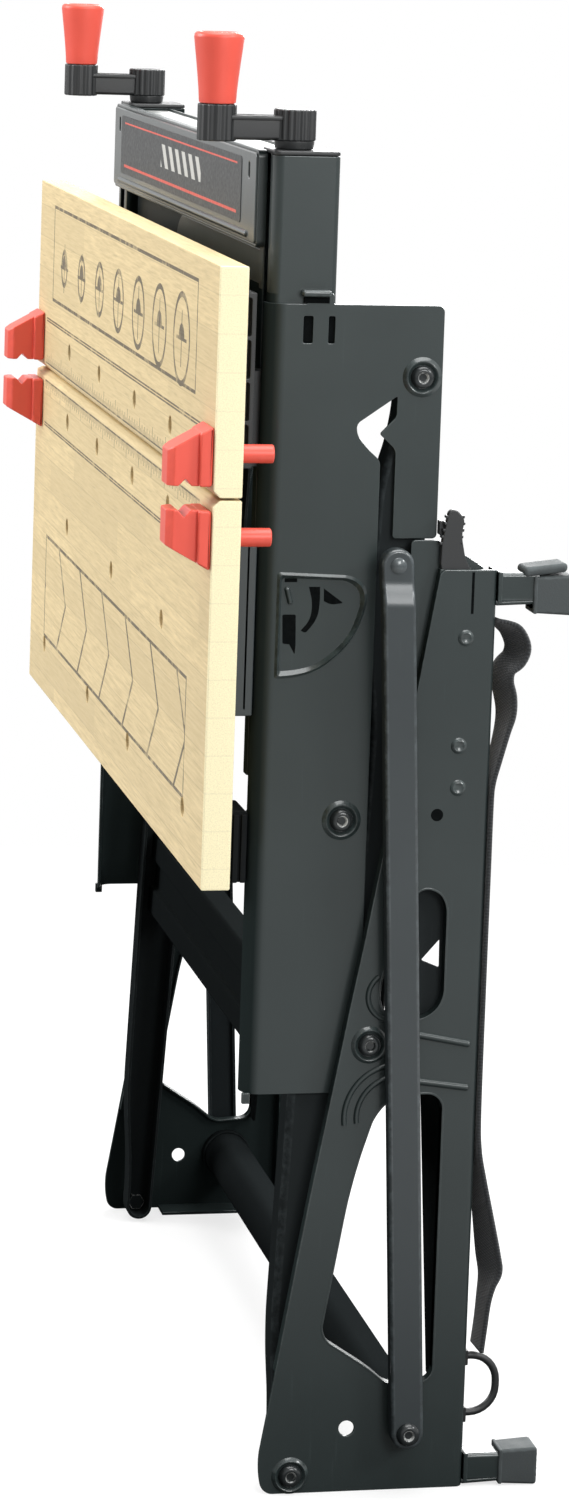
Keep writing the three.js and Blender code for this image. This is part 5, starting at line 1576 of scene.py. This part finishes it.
class BuildStage(bpy.types.Operator):
    """Builds the pale floor, the soft studio light and the camera."""

    bl_idname = "workbench.stage"
    bl_label = "Studio"

    def execute(self, context):
        self.floor()
        self.world(context.scene)
        self.lights()
        self.camera(context.scene)
        context.scene.view_settings.view_transform = "Standard"
        return {"FINISHED"}

    def floor(self):
        """A floor that looks white, takes a soft shadow near the bench and throws little light;
        reflections and bounce see it painted dark near the bench and glowing in a ring further out.
        """
        bm = bmesh.new()
        bmesh.ops.create_grid(bm, x_segments=1, y_segments=1, size=12)
        mesh = bpy.data.meshes.new("studio_floor")
        bm.to_mesh(mesh)
        bm.free()
        made = bpy.data.objects.new("studio_floor", mesh)
        bpy.context.scene.collection.objects.link(made)
        paper = Finish("studio_paper", {"Roughness": 0.9, "Specular IOR Level": 0.2})
        rays = paper.node("LightPath").outputs
        seen = rays["Is Camera Ray"]
        reflected = paper.most(rays["Is Glossy Ray"], rays["Is Transmission Ray"])
        away = paper.node("VectorMath", {0: paper.place()}, operation="LENGTH").outputs["Value"]
        # To all but camera rays the floor is painted dark near the bench as painted shadow, lighter
        # in a band about 1.3 m out, and dimmer again beyond 3 m.
        near = paper.span(away, 0.5, 1.3, 0.06, 0.55)
        level = paper.times(near, paper.span(away, 1.6, 3.2, 1.0, 0.4))
        around = paper.mix(level, (0, 0, 0), (1, 1, 1))
        tone = paper.mix(seen, around, (0.9, 0.9, 0.9))
        paper.feed(paper.shader.inputs["Base Color"], tone)
        glow = paper.node("Emission", {"Strength": 1.0})
        # Reflections see a painted glowing ring between about 0.4 m and 3 m from the bench.
        glow_ring = paper.times(paper.span(away, 0.4, 1.5), paper.span(away, 1.9, 3.4, 1.0, 0.35))
        shown = paper.times(seen, paper.span(away, 0.5, 1.6, 0.7, 1.0))
        shown = paper.most(shown, paper.times(reflected, glow_ring))
        blend = paper.node("MixShader", {0: shown})
        paper.links.new(paper.shader.outputs[0], blend.inputs[1])
        paper.links.new(glow.outputs[0], blend.inputs[2])
        paper.links.new(blend.outputs[0], paper.nodes["Material Output"].inputs["Surface"])
        mesh.materials.append(paper.material)

    def world(self, scene):
        """A white sky to the camera and in reflections, and a dimmer one as a light."""
        world = bpy.data.worlds.new("studio_world")
        scene.world = world
        world.use_nodes = True
        nodes, links = world.node_tree.nodes, world.node_tree.links
        sky = nodes["Background"]
        sky.inputs["Color"].default_value = (1, 1, 1, 1)
        rays = nodes.new("ShaderNodeLightPath").outputs
        shown = rays["Is Camera Ray"]
        for kind in ("Is Glossy Ray", "Is Transmission Ray"):
            either = nodes.new("ShaderNodeMath")
            either.operation = "MAXIMUM"
            links.new(shown, either.inputs[0])
            links.new(rays[kind], either.inputs[1])
            shown = either.outputs[0]
        strength = nodes.new("ShaderNodeMapRange")
        strength.inputs["To Min"].default_value = 0.26
        strength.inputs["To Max"].default_value = 1.0
        links.new(shown, strength.inputs["Value"])
        links.new(strength.outputs[0], sky.inputs["Strength"])

    def lights(self):
        target = Vector((0, 0, 0.5))
        rows = (
            ("top_light", (0.4, 0.2, 3.6), 3.0, 165.0),
            ("side_light", (3.0, 0.75, 1.6), 1.0, 36.0),
            ("rake_light", (1.9, 2.3, 2.1), 0.7, 36.0),
            ("front_light", (-1.0, -3.0, 2.0), 1.6, 95.0),
            ("fill_light", (-2.9, 1.5, 1.8), 1.8, 150.0),
        )
        for name, place, width, power in rows:
            lamp = bpy.data.lights.new(name, "AREA")
            lamp.size = width
            lamp.energy = power
            made = bpy.data.objects.new(name, lamp)
            made.location = place
            made.rotation_mode = "QUATERNION"
            made.rotation_quaternion = (target - Vector(place)).to_track_quat("-Z", "Y")
            bpy.context.scene.collection.objects.link(made)

    def camera(self, scene):
        around, above, roll = (math.radians(angle) for angle in (78.31, 7.21, 1.918))
        sensor, focal, drop, picture, distance = 36, 4400, 300, 1500, 3.046
        flat = math.cos(above)
        ahead = Vector((-math.sin(around) * flat, math.cos(around) * flat, -math.sin(above)))
        right = Vector((math.cos(around), math.sin(around), 0))
        up = right.cross(ahead)
        side = right * math.cos(roll) + up * math.sin(roll)
        head = up * math.cos(roll) - right * math.sin(roll)
        target = Vector((0, SHIFT_Y - 0.008, 0.6341))
        lens = bpy.data.cameras.new("studio_camera")
        lens.lens = sensor * focal / picture
        lens.sensor_width = sensor
        lens.shift_y = -drop / picture
        made = bpy.data.objects.new("studio_camera", lens)
        turn = Matrix((side, head, -ahead)).transposed().to_4x4()
        made.matrix_world = Matrix.Translation(target - ahead * distance) @ turn
        scene.collection.objects.link(made)
        scene.camera = made


class WorkbenchPanel(bpy.types.Panel):
    """Lists the building steps and the settings in the sidebar."""

    bl_idname = "VIEW3D_PT_workbench"
    bl_label = "Workbench"
    bl_space_type = "VIEW_3D"
    bl_region_type = "UI"
    bl_category = "Workbench"

    def draw(self, context):
        layout = self.layout
        for step in STEPS:
            layout.operator(step.bl_idname)
        for group in (context.scene.workbench_sizes, context.scene.workbench_colours):
            box = layout.box()
            for name in group.__annotations__:
                box.prop(group, name)


STEPS = (
    BuildJaws,
    BuildPegs,
    BuildBeams,
    BuildCranks,
    BuildSidePlates,
    BuildApron,
    BuildCarriers,
    BuildLegs,
    BuildStruts,
    BuildBaseSides,
    BuildCrossMembers,
    BuildFeet,
    BuildBolts,
    BuildStrap,
    BuildLatch,
    BuildStage,
)
CLASSES = (WorkbenchColours, WorkbenchSizes, *STEPS, WorkbenchPanel)


def register():
    for item in CLASSES:
        bpy.utils.register_class(item)
    bpy.types.Scene.workbench_colours = bpy.props.PointerProperty(type=WorkbenchColours)
    bpy.types.Scene.workbench_sizes = bpy.props.PointerProperty(type=WorkbenchSizes)


def unregister():
    del bpy.types.Scene.workbench_sizes
    del bpy.types.Scene.workbench_colours
    for item in reversed(CLASSES):
        bpy.utils.unregister_class(item)


def main():
    register()
    for step in STEPS:
        group, name = step.bl_idname.split(".")
        getattr(getattr(bpy.ops, group), name)()


if __name__ == "__main__":
    main()
